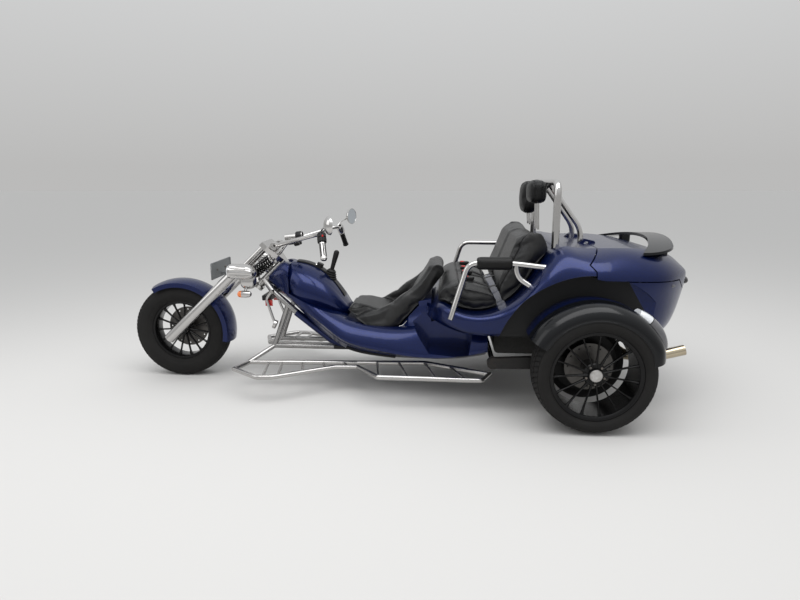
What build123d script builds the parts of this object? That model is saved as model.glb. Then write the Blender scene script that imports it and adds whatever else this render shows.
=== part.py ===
from build123d import *
from math import cos, radians, sin
import os

os.makedirs("parts", exist_ok=True)

# Driving dimensions in millimetres. Stations run forward from the rear axle, heights up from the ground,
# +Y is the vehicle's left. The row's origin is on the ground below the middle of the overall length.
wheelbase = 2548
track = 1450
tail_overhang = 690
front_tyre_radius = 317
front_tyre_width = 150
front_bead_radius = 190
rear_tyre_radius = 320
rear_tyre_width = 240
rear_bead_radius = 229
rake = 46.4
stem_offset = 150
seat_gap = 0.5
part_gap = 0.3
run_gap = 0.05
move_gap = 8

axle_x = (tail_overhang - wheelbase - front_tyre_radius) / 2
half_track = track / 2


def at(x, y, z):
    """A point given from the rear axle."""
    return Vector(axle_x + x, y, z)


def side_plane(y=0):
    """Upright plane seen from the left: local x is the station, local y the height."""
    return Plane(origin=at(0, y, 0), x_dir=(1, 0, 0), z_dir=(0, -1, 0))


def cross_plane(x):
    """Upright plane across the vehicle: local x is the width, local y the height."""
    return Plane(origin=at(x, 0, 0), x_dir=(0, 1, 0), z_dir=(1, 0, 0))


def plan_plane(z=0):
    """Level plane: local x is the station, local y the width."""
    return Plane(origin=at(0, 0, z))


def fork_at(front, y, along):
    """A point in the raked fork's own measures, from the front axle."""
    across = (cos(radians(rake)), sin(radians(rake)))
    return at(wheelbase + front * across[0] - along * across[1], y,
              front_tyre_radius + front * across[1] + along * across[0])


fork_up = Vector(-sin(radians(rake)), 0, cos(radians(rake)))
fork_front = Vector(cos(radians(rake)), 0, sin(radians(rake)))


def fork_plane(along, front=0):
    """Plane square to the fork: local x points to its front, local y to the left."""
    return Plane(origin=fork_at(front, 0, along), x_dir=fork_front, z_dir=fork_up)


def tube(points, radius, bend=0, mode=Mode.ADD):
    """Adds a round tube along the points, with its corners bent to one radius."""
    with BuildLine() as path:
        if bend:
            FilletPolyline(*points, radius=bend)
        else:
            Polyline(*points)
    with BuildSketch(Plane(origin=path.line @ 0, z_dir=path.line % 0)) as section:
        Circle(radius)
    sweep(sections=section.sketch, path=path.line, mode=mode)


def mirrored(points):
    """The same points on the other side of the vehicle."""
    return [Vector(p.X, -p.Y, p.Z) for p in points]


def save(piece, node):
    """Labels a finished piece and writes it out."""
    piece.part.label = node
    export_step(piece.part, f"parts/{node}.step")


# Wheels
def tyre_ring(centre, width, outer, bead, bead_width):
    """A tyre: bead flats, bulged walls and a crowned tread, turned about the axle."""
    shoulder = outer - 0.07 * width
    with BuildPart() as ring:
        with BuildSketch(Plane(origin=centre, x_dir=(0, 1, 0), z_dir=(1, 0, 0))):
            with BuildLine():
                Line((-bead_width / 2, bead), (bead_width / 2, bead))
                Line((bead_width / 2, bead), (bead_width / 2, bead + 11))
                ThreePointArc((bead_width / 2, bead + 11), (width / 2, (bead + shoulder) / 2),
                              (0.44 * width, shoulder))
                ThreePointArc((0.44 * width, shoulder), (0, outer), (-0.44 * width, shoulder))
                ThreePointArc((-0.44 * width, shoulder), (-width / 2, (bead + shoulder) / 2),
                              (-bead_width / 2, bead + 11))
                Line((-bead_width / 2, bead + 11), (-bead_width / 2, bead))
            make_face()
        revolve(axis=Axis(centre, (0, 1, 0)))
    return ring


def spoked_rim(centre, bead, bead_width, spokes, spoke_y, hub_radius, hub_in, hub_out, bore, outside=1, cap=0):
    """A cast wheel: barrel with two flanges, thin spokes and a hub bored from inside up to its cap."""
    flange = 6
    barrel = bead - part_gap
    inner = barrel - 8
    reach = bead_width / 2 + part_gap
    with BuildPart() as rim:
        with BuildSketch(Plane(origin=centre, x_dir=(0, 1, 0), z_dir=(1, 0, 0))):
            with BuildLine():
                Polyline((-reach - flange, inner), (reach + flange, inner), (reach + flange, bead + 10),
                         (reach, bead + 10), (reach, barrel), (-reach, barrel), (-reach, bead + 10),
                         (-reach - flange, bead + 10), close=True)
            make_face()
        revolve(axis=Axis(centre, (0, 1, 0)))
        spoke_plane = Plane(origin=centre + Vector(0, spoke_y * outside, 0), x_dir=(1, 0, 0), z_dir=(0, -1, 0))
        with BuildSketch(spoke_plane):
            with PolarLocations(0, spokes):
                with Locations(((hub_radius + inner + 2) / 2 - 4, 0)):
                    Rectangle(inner - hub_radius + 10, 11)
            Circle(hub_radius + 16)
        extrude(amount=9, both=True)
        with BuildSketch(Plane(origin=centre + Vector(0, outside * hub_out, 0),
                               x_dir=(1, 0, 0), z_dir=(0, -outside, 0))):
            Circle(hub_radius)
        extrude(amount=hub_in + hub_out)
        with BuildSketch(Plane(origin=centre + Vector(0, outside * (hub_out - cap), 0),
                               x_dir=(1, 0, 0), z_dir=(0, -outside, 0))):
            Circle(bore)
        extrude(amount=hub_in + hub_out, mode=Mode.SUBTRACT)
    return rim


def brake_disc(centre, y, outer, inner):
    """A drilled brake disc."""
    disc_plane = Plane(origin=centre + Vector(0, y, 0), x_dir=(1, 0, 0), z_dir=(0, -1, 0))
    with BuildPart() as disc:
        with BuildSketch(disc_plane):
            Circle(outer)
            Circle(inner, mode=Mode.SUBTRACT)
            with PolarLocations(outer - 18, 12):
                Circle(5, mode=Mode.SUBTRACT)
        extrude(amount=2.5, both=True)
    return disc


front_axle_radius = 12
front_hub_half = 62
front_disc_y = -64.8
front_disc_radius = 138
front_centre = at(wheelbase, 0, front_tyre_radius)
front_tyre = tyre_ring(front_centre, front_tyre_width, front_tyre_radius, front_bead_radius, 104)
save(front_tyre, "front_tyre")
front_rim = spoked_rim(front_centre, front_bead_radius, 104, 15, 0, 40, front_hub_half, front_hub_half,
                       front_axle_radius + run_gap)
save(front_rim, "front_rim")
front_disc = brake_disc(front_centre, front_disc_y, front_disc_radius, front_axle_radius + 6)
save(front_disc, "front_disc")

rear_hub_bore = 30
rear_bead_width = 206
rear_hub_in = 70
rear_hub_out = 84
hub_cap = 8
for side, name in ((1, "left"), (-1, "right")):
    wheel_centre = at(0, side * half_track, rear_tyre_radius)
    rear_tyre = tyre_ring(wheel_centre, rear_tyre_width, rear_tyre_radius, rear_bead_radius, rear_bead_width)
    save(rear_tyre, f"rear_tyre_{name}")
    rear_rim = spoked_rim(wheel_centre, rear_bead_radius, rear_bead_width, 15, 66, 46, rear_hub_in,
                          rear_hub_out, rear_hub_bore + run_gap, side, hub_cap)
    save(rear_rim, f"rear_rim_{name}")
    rear_disc = brake_disc(wheel_centre, -side * (rear_hub_in + 3), 130, rear_hub_bore + 2)
    save(rear_disc, f"rear_disc_{name}")

# Rear axle: gearbox, half shafts, hub carriers, trailing arms and calipers
pivot = (505, 300)
pivot_radius = 15
arm_y = 566
arm_half = 18
with BuildPart() as rear_axle:
    with BuildSketch(side_plane()):
        with Locations((4, 330)):
            RectangleRounded(248, 200, 30)
    extrude(amount=150, both=True)
    with BuildSketch(side_plane()):
        with Locations((0, rear_tyre_radius)):
            Circle(rear_hub_bore)
    extrude(amount=half_track + 60, both=True)
    for side in (1, -1):
        with BuildSketch(side_plane(side * (half_track - 130))):
            with Locations((0, rear_tyre_radius)):
                Circle(58)
        extrude(amount=18, both=True)
        with BuildSketch(side_plane(side * arm_y)):
            with Locations(pivot):
                Circle(34)
            with BuildLine():
                Polyline((pivot[0], pivot[1] - 30), (pivot[0], pivot[1] + 30), (-40, rear_tyre_radius + 40),
                         (-40, rear_tyre_radius - 40), close=True)
            make_face()
        extrude(amount=arm_half, both=True)
        with BuildSketch(side_plane(side * (half_track - 97.5))):
            with BuildLine():
                Polyline((20, rear_tyre_radius + 90), (110, rear_tyre_radius + 60),
                         (120, rear_tyre_radius - 30), (40, rear_tyre_radius - 30), close=True)
            make_face()
        extrude(amount=14.5, both=True)
save(rear_axle, "rear_axle")

# Engine, one plain block ahead of the axle and under the passengers
engine_size = (345, 560, 265)
engine_centre = (300.8, 402)
with BuildPart() as engine_block:
    with BuildSketch(side_plane()):
        with Locations(engine_centre):
            RectangleRounded(engine_size[0], engine_size[2], 25)
    extrude(amount=engine_size[1] / 2, both=True)
save(engine_block, "engine_block")

# Steel frame: head tube, down tubes, lower rails, pivot cross tube and the front struts
leg_top = 585
lower_yoke = leg_top + part_gap
yoke_thick = 26
upper_tube_y = 85
yoke_root = 32
stem_radius = 18
head_low = 619
head_high = 818
head_radius = 26
# Upper yoke's outline about the stem: forward, across
upper_outline = [(stem_offset + 22, -upper_tube_y - 22), (stem_offset + 22, upper_tube_y + 22),
                 (stem_offset - 24, upper_tube_y + 22), (0, yoke_root), (0, -yoke_root),
                 (stem_offset - 24, -upper_tube_y - 22)]
steering_turn = 32
tube_radius = 20
strut_radius = 16
rail_path = [(1968, 12, 662), (1905, 60, 597), (1700, 100, 432), (1500, 92, 268), (1380, 90, 240), (600, 90, 240),
             (pivot[0], 90, pivot[1])]
strut_knee = (1900, 90, 233)
board_height = 160
board_front = (2031, 227, board_height)
with BuildPart() as frame:
    with BuildSketch(fork_plane(head_low, -stem_offset)):
        Circle(head_radius)
    extrude(amount=head_high - head_low)
    for side in (1, -1):
        tube([at(x, side * y, z) for x, y, z in rail_path], tube_radius, 40)
        tube([at(1800, side * 82, 512), at(strut_knee[0], side * strut_knee[1], strut_knee[2])], strut_radius)
        tube([at(strut_knee[0], side * strut_knee[1], strut_knee[2]), at(1380, side * 92, 232)], strut_radius)
        with Locations(at(strut_knee[0], side * strut_knee[1], strut_knee[2])):
            Sphere(strut_radius)
    with BuildSketch(side_plane()):
        with Locations(pivot):
            Circle(pivot_radius)
    extrude(amount=arm_y - arm_half - part_gap, both=True)
    with BuildSketch(side_plane()):
        with Locations((1900, 597)):
            Circle(12)
    extrude(amount=110, both=True)
    with BuildSketch(fork_plane(head_low - 10, -stem_offset)):
        Circle(stem_radius + run_gap)
    extrude(amount=head_high - head_low + 20, mode=Mode.SUBTRACT)
save(frame, "frame")

# Footboards: each side one welded ladder of chrome tubes, wide at the front foot and at the passenger's foot
board_radius = 15
rung_radius = 9
rear_board_height = 180
outer_front = [(2079, 369), (1897, 506), (1799, 499), (1461, 290), (1318, 280)]
inner_front = [board_front[:2], (1329, 198)]
outer_rear = [(1163, 513), (558, 530), (509, 420)]
inner_rear = [(1197, 250), (897, 232), (509, 420)]
rung_stations = [(1880, 240, 495), (1790, 235, 490), (1660, 225, 405), (1530, 213, 328), (1400, 205, 280)]
rear_rungs = [(1060, 985, 245, 515), (900, 820, 236, 520), (740, 650, 310, 526)]


def board(side, points, z):
    """Points of one footboard at one height."""
    return [at(x, side * y, z) for x, y in points]


with BuildPart() as footboards:
    for side in (1, -1):
        tube(board(side, [board_front[:2], (2079, 369)], board_height), board_radius)
        tube(board(side, outer_front, board_height), board_radius, 60)
        tube(board(side, inner_front, board_height), board_radius)
        tube([at(strut_knee[0], side * strut_knee[1], strut_knee[2]), at(board_front[0], side * board_front[1], 162)],
             board_radius)
        for x, y_in, y_out in rung_stations:
            tube([at(x + 20, side * y_in, board_height), at(x - 20, side * y_out, board_height)], rung_radius)
        tube([at(1318, side * 280, board_height), at(1163, side * 513, rear_board_height)], board_radius)
        tube([at(1329, side * 198, board_height), at(1197, side * 250, rear_board_height)], board_radius)
        tube(board(side, outer_rear, rear_board_height), board_radius, 40)
        tube(board(side, inner_rear, rear_board_height), board_radius, 120)
        tube(board(side, [(1163, 513), (1197, 250)], rear_board_height), rung_radius)
        for x_in, x_out, y_in, y_out in rear_rungs:
            tube([at(x_in, side * y_in, rear_board_height), at(x_out, side * y_out, rear_board_height)], rung_radius)
        for corner in (board_front[:2], (2079, 369), (1318, 280), (1329, 198)):
            with Locations(at(corner[0], side * corner[1], board_height)):
                Sphere(board_radius)
        for corner in ((1163, 513), (1197, 250), (509, 420)):
            with Locations(at(corner[0], side * corner[1], rear_board_height)):
                Sphere(board_radius)
    add(frame.part, mode=Mode.SUBTRACT)
save(footboards, "footboards")

# Tank: sections across the vehicle, from its flat front behind the cowl to its tail by the seat
# station, bottom, top, half width
tank_sections = [(1772, 600, 792, 140), (1690, 548, 782, 192), (1570, 512, 728, 200), (1470, 480, 622, 165),
                 (1392, 450, 500, 95)]


def tank_form(grow=0):
    """The tank's outer form, drawn out on every side."""
    with BuildPart() as form:
        for x, low, high, half in tank_sections:
            if x == tank_sections[0][0]:
                x += grow
            if x == tank_sections[-1][0]:
                x -= grow
            waist = low + 0.45 * (high - low)
            shoulder = low + 0.86 * (high - low)
            with BuildSketch(cross_plane(x)):
                with BuildLine():
                    Line((-0.9 * half - grow, low - grow), (0.9 * half + grow, low - grow))
                    ThreePointArc((0.9 * half + grow, low - grow), (half + grow, waist),
                                  (0.62 * half + grow, shoulder + grow))
                    ThreePointArc((0.62 * half + grow, shoulder + grow), (0, high + grow),
                                  (-0.62 * half - grow, shoulder + grow))
                    ThreePointArc((-0.62 * half - grow, shoulder + grow), (-half - grow, waist),
                                  (-0.9 * half - grow, low - grow))
                make_face()
        loft()
    return form


tank = tank_form()
save(tank, "tank")
tank_seat = tank_form(seat_gap)

# Console: a black strip along the tank's back, with the filler cap
console_tool = tank_form(9)
with BuildPart() as tank_console:
    add(console_tool.part)
    with BuildSketch(side_plane()):
        with BuildLine():
            Polyline((1740, 760), (1740, 830), (1480, 830), (1430, 560), (1480, 560), (1560, 690), close=True)
        make_face()
    extrude(amount=36, both=True, mode=Mode.INTERSECT)
    add(tank_seat.part, mode=Mode.SUBTRACT)
    with BuildSketch(Plane(origin=at(1600, 0, 752), x_dir=(1, 0, 0.42), z_dir=(-0.42, 0, 1))):
        Circle(22)
    extrude(amount=24)
    add(tank_seat.part, mode=Mode.SUBTRACT)
save(tank_console, "tank_console")

# Gear lever in its bellows
lever_foot = at(1508, 0, 668)
lever_top = at(1476, 0, 867)
lever_line = (lever_top - lever_foot).normalized()
with BuildPart() as gear_lever:
    with BuildSketch(Plane(origin=lever_foot, x_dir=(0, 1, 0), z_dir=(lever_line.Z, 0, -lever_line.X))):
        with BuildLine():
            Polyline((0, -25), (46, -25), (43, 14), (47, 21), (38, 31), (41, 39), (32, 49), (35, 57), (26, 67),
                     (29, 75), (20, 85), (13, 96), (10, 150), (20, 163), (22, 176), (20, 190), (12, 201), (0, 205),
                     close=True)
        make_face()
    revolve(axis=Axis(lever_foot, lever_line))
    add(tank_form(9 + seat_gap).part, mode=Mode.SUBTRACT)
save(gear_lever, "gear_lever")


# Driver's bucket seat: one moulded shell with a sunk pan and side bolsters
def bucket(grow=0):
    """The bucket seat's outer form, drawn out on every side."""
    with BuildPart() as form:
        with BuildSketch(side_plane()):
            with BuildLine():
                Line((1398, 500), (1284, 424))
                ThreePointArc((1284, 424), (1150, 385), (1050, 428))
                Line((1050, 428), (884, 610))
                Line((884, 610), (786, 745))
                ThreePointArc((786, 745), (800, 812), (861, 812))
                ThreePointArc((861, 812), (1010, 625), (1160, 572))
                Line((1160, 572), (1380, 540))
                ThreePointArc((1380, 540), (1402, 522), (1398, 500))
            make_face()
            if grow:
                offset(amount=grow)
        extrude(amount=262 + grow, both=True)
        with BuildSketch(plan_plane(300)):
            with BuildLine():
                Line((1420, -190), (1420, 190))
                ThreePointArc((1420, 190), (1330, 240), (1220, 262 + grow))
                Line((1220, 262 + grow), (1000, 262 + grow))
                ThreePointArc((1000, 262 + grow), (860, 225), (760, 190))
                Line((760, 190), (760, -190))
                ThreePointArc((760, -190), (860, -225), (1000, -262 - grow))
                Line((1000, -262 - grow), (1220, -262 - grow))
                ThreePointArc((1220, -262 - grow), (1330, -240), (1420, -190))
            make_face()
        extrude(amount=600, mode=Mode.INTERSECT)
    return form


cushion_half = 175
with BuildPart() as driver_seat:
    add(bucket().part)
    with BuildSketch(side_plane()):
        with BuildLine():
            Line((1420, 535), (1276, 528))
            Line((1276, 528), (1170, 500))
            ThreePointArc((1170, 500), (1080, 500), (1010, 560))
            Line((1010, 560), (885, 770))
            Polyline((885, 770), (885, 900), (1420, 900), (1420, 535))
        make_face()
    extrude(amount=cushion_half, both=True, mode=Mode.SUBTRACT)
    for side in (1, -1):
        with BuildSketch(side_plane(side * cushion_half)):
            with BuildLine():
                Polyline((1440, 440), (1330, 474), (1200, 504), (1100, 556), (950, 684), (868, 790), (868, 900),
                         (1440, 900), close=True)
            make_face()
        extrude(amount=-side * 150, mode=Mode.SUBTRACT)
    add(tank_seat.part, mode=Mode.SUBTRACT)
save(driver_seat, "driver_seat")

rear_floor = 450
# Rear body: the form shared by the body and the boot lid, from the passengers' knees to the tail
# station, bottom, floor half, waist half, waist, shoulder half, shoulder, top half, top
deck = 945
hull_sections = [(886, 506, 240, 300, 524, 306, 548, 240, 582),
                 (830, 490, 380, 440, 520, 448, 560, 400, 604),
                 (720, 468, 500, 560, 520, 566, 556, 530, 594),
                 (560, rear_floor, 540, 588, 520, 592, 550, 556, 576),
                 (440, rear_floor, 545, 602, 540, 608, 590, 560, 622),
                 (300, rear_floor, 550, 622, 600, 632, 720, 530, 772),
                 (180, rear_floor, 555, 638, 640, 650, 790, 480, 928),
                 (60, rear_floor, 555, 646, 660, 652, 800, 450, deck - 3),
                 (-150, rear_floor, 545, 618, 650, 630, 800, 440, deck - 6),
                 (-306, rear_floor, 500, 572, 650, 582, 790, 400, 931),
                 (-447, 456, 400, 488, 650, 502, 780, 320, 905),
                 (-544, 508, 280, 375, 640, 392, 770, 230, 868),
                 (-605, 600, 190, 284, 690, 300, 763, 150, 832),
                 (-650, 668, 110, 184, 702, 196, 752, 100, 796),
                 (-tail_overhang, 706, 40, 84, 722, 92, 744, 50, 764)]
arch_radius = 495
arch_inner = 545
wall = 14
lid_wall = 10
lid_gap = 6
hinge = (-45, 957)
hinge_y = 190
hinge_pin = 5
hinge_round = 9
knuckle_half = 13
cheek = 5


def rear_hull(inset=0):
    """The rear body's outer form, or the same drawn in by the inset."""
    with BuildPart() as hull:
        for x, z0, y0, y1, z1, y2, z2, y3, z3 in hull_sections:
            tail = 1.4 * inset if x < -500 else 0
            with BuildSketch(cross_plane(x + tail)):
                with BuildLine():
                    Line((0, z0 + inset), (y0 - inset, z0 + inset))
                    Spline((y0 - inset, z0 + inset), (y1 - inset, z1), (y2 - inset, z2),
                           (y3 - inset / 2, z3 - inset), tangents=((1, 0.25), (-1, 0.2)))
                    Line((y3 - inset / 2, z3 - inset), (0, z3 + 3 - inset))
                    mirror(about=Plane.YZ)
                make_face()
        loft()
    return hull


# Front body: cowl round the steering neck, running down and back into the sills and the passengers' floor
# station, low, low half, crease half, crease, shoulder half, shoulder, top half, top
body_sections = [(1930, 650, 22, 44, 672, 46, 700, 22, 724),
                 (1860, 590, 45, 92, 630, 96, 700, 60, 772),
                 (1780, 530, 72, 150, 585, 148, 690, 95, 786),
                 (1670, 430, 105, 222, 520, 216, 590, 150, 660),
                 (1550, 335, 140, 290, 450, 276, 505, 190, 545),
                 (1400, 252, 185, 330, 350, 312, 405, 225, 460),
                 (1210, 220, 225, 365, 304, 350, 362, 262, 425),
                 (1000, 220, 260, 410, 280, 396, 340, 300, 430),
                 (800, 225, 285, 452, 285, 436, 350, 340, 468),
                 (640, 244, 300, 476, 312, 458, 380, 360, 470),
                 (530, 264, 300, 480, 338, 462, 400, 360, 462)]
channel_half = 128
# Spine under the driver's seat: station, foot half, foot, waist half, waist, top half, top
spine_sections = [(1100, 262, 395, 190, 400, 150, 408),
                  (1000, 300, 415, 246, 460, 232, 535),
                  (930, 345, 420, 268, 480, 250, 583),
                  (860, 400, 425, 300, 490, 270, 600)]
with BuildPart() as front_spine:
    for x, y0, z0, y1, z1, y2, z2 in spine_sections:
        with BuildSketch(cross_plane(x)):
            with BuildLine():
                Polyline((0, 330), (y0, 330), (y0, z0))
                Spline((y0, z0), (y1, z1), (y2, z2))
                Line((y2, z2), (0, z2))
                mirror(about=Plane.YZ)
            make_face()
    loft(ruled=True)
with BuildPart() as front_body:
    for x, z0, y0, y1, z1, y2, z2, y3, z3 in body_sections:
        with BuildSketch(cross_plane(x)):
            with BuildLine():
                Polyline((0, z0), (y0, z0), (y1, z1))
                Spline((y1, z1), (y2, z2), (y3, z3), tangents=((0, 1), (-1, 0.15)))
                Line((y3, z3), (0, z3))
                mirror(about=Plane.YZ)
            make_face()
    loft()
    add(front_spine.part)
    with BuildSketch(side_plane()):
        with BuildLine():
            Polyline((1775, 545), (1500, 304), (1385, 272), (614, 272), (500, 350), (500, 100), (1775, 100), close=True)
        make_face()
    extrude(amount=channel_half, both=True, mode=Mode.SUBTRACT)
    add(tank_form(seat_gap).part, mode=Mode.SUBTRACT)
    with BuildSketch(side_plane()):
        with BuildLine():
            Polyline((1772 + seat_gap, 600), (1772 + seat_gap, 900), (1300, 900), (1300, 465), (1392, 465), close=True)
        make_face()
    extrude(amount=300, both=True, mode=Mode.SUBTRACT)
    add(bucket(seat_gap).part, mode=Mode.SUBTRACT)
    with BuildSketch(fork_plane(560, -stem_offset)):
        Circle(head_radius + 6)
    extrude(amount=400, mode=Mode.SUBTRACT)
    with BuildSketch(fork_plane(head_high, -stem_offset)):
        Circle(46)
        for step in (-1, -0.5, 0, 0.5, 1):
            Polygon(*upper_outline, rotation=step * steering_turn, align=None)
        offset(amount=move_gap + 2)
    extrude(amount=200, mode=Mode.SUBTRACT)
    with BuildSketch(fork_plane(560, -stem_offset - 4)):
        with Locations((100, 0)):
            Rectangle(200, 300)
    extrude(amount=400, mode=Mode.SUBTRACT)
    with BuildSketch(fork_plane(lower_yoke - move_gap, -stem_offset)):
        with Locations((84, 0)):
            Rectangle(232, 420)
        Circle(36 + move_gap)
    extrude(amount=yoke_thick + 2 * move_gap, mode=Mode.SUBTRACT)
    for side in (1, -1):
        with BuildSketch(side_plane(side * 260)):
            with BuildLine():
                Polyline((1010, 520), (940, 405), (868, 304), (640, 296), (612, 460), (612, 520), close=True)
            make_face()
        extrude(amount=-side * 300, mode=Mode.SUBTRACT)
        tube([at(x, side * y, z) for x, y, z in rail_path[:4]], tube_radius + part_gap, 40, Mode.SUBTRACT)
    add(rear_hull(-part_gap).part, mode=Mode.SUBTRACT)
save(front_body, "front_body")

def lid_zone(grow=0):
    """The space above and behind the boot's shut line."""
    with BuildPart() as zone:
        with BuildSketch(side_plane()):
            with BuildLine():
                Polyline((-64, deck + 60), (-64, deck - 6), (14, 868), (-14, 838), (-14, 798), (-60, 790),
                         (-530, 764), (-585, 702), (-720, 676), (-720, deck + 60), close=True)
            make_face()
            if grow:
                offset(amount=grow, kind=Kind.INTERSECTION)
        extrude(amount=800, both=True)
    return zone


hull_outer = rear_hull()
hull_grown = rear_hull(-seat_gap)
lid_cavity = rear_hull(lid_wall)
boot_cavity = rear_hull(wall)
boot_floor = 560
bay_roof = 540
bay = (118, 492, 298)
buffers = [(-120, 624), (-250, 593), (-430, 505)]
with BuildPart() as boot_space:
    add(boot_cavity.part)
    with BuildSketch(side_plane()):
        with BuildLine():
            Polyline((-52, 784), (-640, 784), (-640, boot_floor), (-140, boot_floor), close=True)
        make_face()
    extrude(amount=520, both=True, mode=Mode.INTERSECT)
with BuildPart() as lid_buffers:
    with BuildSketch(plan_plane(740)):
        for x, y in buffers:
            with Locations((x, y), (x, -y)):
                Circle(4)
    extrude(amount=60)
    add(lid_zone(part_gap).part, mode=Mode.SUBTRACT)
with BuildPart() as rear_body:
    add(hull_outer.part)
    add(lid_zone(lid_gap).part, mode=Mode.SUBTRACT)
    add(boot_space.part, mode=Mode.SUBTRACT)
    add(lid_buffers.part)
    for side in (1, -1):
        with BuildSketch(side_plane(side * arch_inner)):
            with Locations((0, rear_tyre_radius)):
                Circle(arch_radius)
        extrude(amount=-side * 300, mode=Mode.SUBTRACT)
        for y in (hinge_y - knuckle_half - part_gap, hinge_y + knuckle_half + part_gap + cheek):
            with BuildSketch(side_plane(side * y)):
                with Locations(hinge):
                    Circle(hinge_round)
                with BuildLine():
                    Polyline((hinge[0] - 4, hinge[1] - 8), (hinge[0], hinge[1] + hinge_round), (-8, 938), (-40, 938),
                             close=True)
                make_face()
            extrude(amount=side * cheek)
        with BuildSketch(side_plane(side * hinge_y)):
            with Locations(hinge):
                Circle(hinge_pin)
        extrude(amount=knuckle_half + cheek, both=True)
    with BuildSketch(side_plane()):
        with BuildLine():
            Polyline((bay[0], 400), (bay[0], bay_roof), (bay[1], bay_roof), (bay[1], 400), close=True)
        make_face()
    extrude(amount=bay[2], both=True, mode=Mode.SUBTRACT)
save(rear_body, "rear_body")

with BuildPart() as boot_lid:
    add(hull_outer.part)
    add(lid_zone().part, mode=Mode.INTERSECT)
    add(lid_cavity.part, mode=Mode.SUBTRACT)
    for side in (1, -1):
        with BuildSketch(side_plane(side * hinge_y)):
            with Locations(hinge):
                Circle(hinge_round)
            with BuildLine():
                Polyline((hinge[0], hinge[1] - hinge_round), (hinge[0], hinge[1] + hinge_round), (-104, 952),
                         (-112, 938), (-74, 938), (-70, 948), close=True)
            make_face()
            with Locations(hinge):
                Circle(hinge_pin + run_gap, mode=Mode.SUBTRACT)
        extrude(amount=knuckle_half, both=True)
save(boot_lid, "boot_lid")

# Wing on the lid: a swept blade on two feet
wing_span = 500
with BuildPart() as wing:
    with BuildSketch(plan_plane(850)):
        with BuildLine():
            ThreePointArc((-290, wing_span), (-430, 0), (-290, -wing_span))
            ThreePointArc((-290, -wing_span), (-408, -470), (-492, -380))
            ThreePointArc((-492, -380), (-550, 0), (-492, 380))
            ThreePointArc((-492, 380), (-408, 470), (-290, wing_span))
        make_face()
    extrude(amount=200)
    with BuildSketch(cross_plane(-600)):
        with BuildLine():
            ThreePointArc((-510, 918), (0, 980), (510, 918))
            Line((510, 918), (510, 904))
            ThreePointArc((510, 904), (0, 962), (-510, 904))
            Line((-510, 904), (-510, 918))
        make_face()
    extrude(amount=400, mode=Mode.INTERSECT)
    for side in (1, -1):
        with BuildSketch(plan_plane(860)):
            with Locations((-445, side * 330)):
                RectangleRounded(70, 40, 15)
        extrude(amount=82)
    add(hull_grown.part, mode=Mode.SUBTRACT)
save(wing, "wing")


# Passenger seat and backrest, seated on the rear body
def seat_block(points, half, front_round):
    """A cushion from its side outline, rounded in plan and cut to its seat on the body."""
    with BuildPart() as block:
        with BuildSketch(side_plane()):
            with BuildLine():
                FilletPolyline(*points, radius=28, close=True)
            make_face()
        extrude(amount=half, both=True)
        with BuildSketch(plan_plane(300)):
            with Locations((500, 0)):
                RectangleRounded(700, 2 * half, front_round)
        extrude(amount=900, mode=Mode.INTERSECT)
        add(hull_grown.part, mode=Mode.SUBTRACT)
    return block


passenger_seat = seat_block([(832, 560), (835, 650), (800, 705), (730, 733), (600, 706), (492, 676), (436, 556)],
                            480, 140)
save(passenger_seat, "passenger_seat")
passenger_back = seat_block([(430, 556), (484, 674), (362, 985), (318, 1042), (240, 1034), (196, 965),
                             (192, 880), (300, 700)], 470, 120)
save(passenger_back, "passenger_back")

# Roll bar: a hoop behind the backrest with two braces to the deck
hoop = (162, 390, 1292)
hoop_radius = 21
hoop_bend = 60
brace_radius = 16
with BuildPart() as roll_bar:
    with BuildSketch(side_plane()):
        with Locations((hoop[0], hoop[2])):
            Circle(hoop_radius)
    extrude(amount=hoop[1] - hoop_bend, both=True)
    for side in (1, -1):
        with BuildSketch(plan_plane(935)):
            with Locations((hoop[0], side * hoop[1])):
                Circle(hoop_radius)
        extrude(amount=hoop[2] - hoop_bend - 935)
        with BuildSketch(plan_plane(hoop[2] - hoop_bend)):
            with Locations((hoop[0], side * hoop[1])):
                Circle(hoop_radius)
        revolve(axis=Axis(at(hoop[0], side * (hoop[1] - hoop_bend), hoop[2] - hoop_bend), (side, 0, 0)),
                revolution_arc=90)
        tube([at(hoop[0], side * 95, hoop[2]), at(-30, side * 100, 1018), at(-38, side * 120, 935)],
             brace_radius, 70)
    add(hull_grown.part, mode=Mode.SUBTRACT)
save(roll_bar, "roll_bar")

# Headrests on brackets from the hoop
with BuildPart() as headrests:
    for x, y, z, deep, tall in ((250, 200, 1240, 120, 150), (236, -200, 1196, 115, 225)):
        with BuildSketch(side_plane(y)):
            with Locations((x, z)):
                RectangleRounded(deep, tall, 50)
        extrude(amount=115, both=True)
        with BuildSketch(side_plane(y)):
            with BuildLine():
                Polyline((200, 1215), (200, 1275), (hoop[0], hoop[2] + 6), (hoop[0], hoop[2] - 30), close=True)
            make_face()
        extrude(amount=20, both=True)
    add(roll_bar.part, mode=Mode.SUBTRACT)
save(headrests, "headrests")

# Armrests
arm_radius = 16
with BuildPart() as armrests:
    for side in (1, -1):
        tube([at(748, side * 552, 545), at(652, side * 521, 860), at(400, side * 520, 858),
              at(205, side * 548, 838)], arm_radius, 45)
        tube([at(395, side * 521, 857), at(382, side * 530, 780), at(290, side * 548, 722)], arm_radius, 35)
    add(hull_grown.part, mode=Mode.SUBTRACT)
save(armrests, "armrests")
with BuildPart() as armrest_pad:
    with BuildSketch(Plane(origin=at(412, 520, 858), z_dir=(1, 0, 0.008))):
        Circle(39)
    extrude(amount=196)
    add(armrests.part, mode=Mode.SUBTRACT)
save(armrest_pad, "armrest_pad")

# Rear fenders: blue inner part and black outer band, turned about the axle
fender_front = 29
fender_sweep = 136
axle_point = at(0, 0, rear_tyre_radius)


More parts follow.
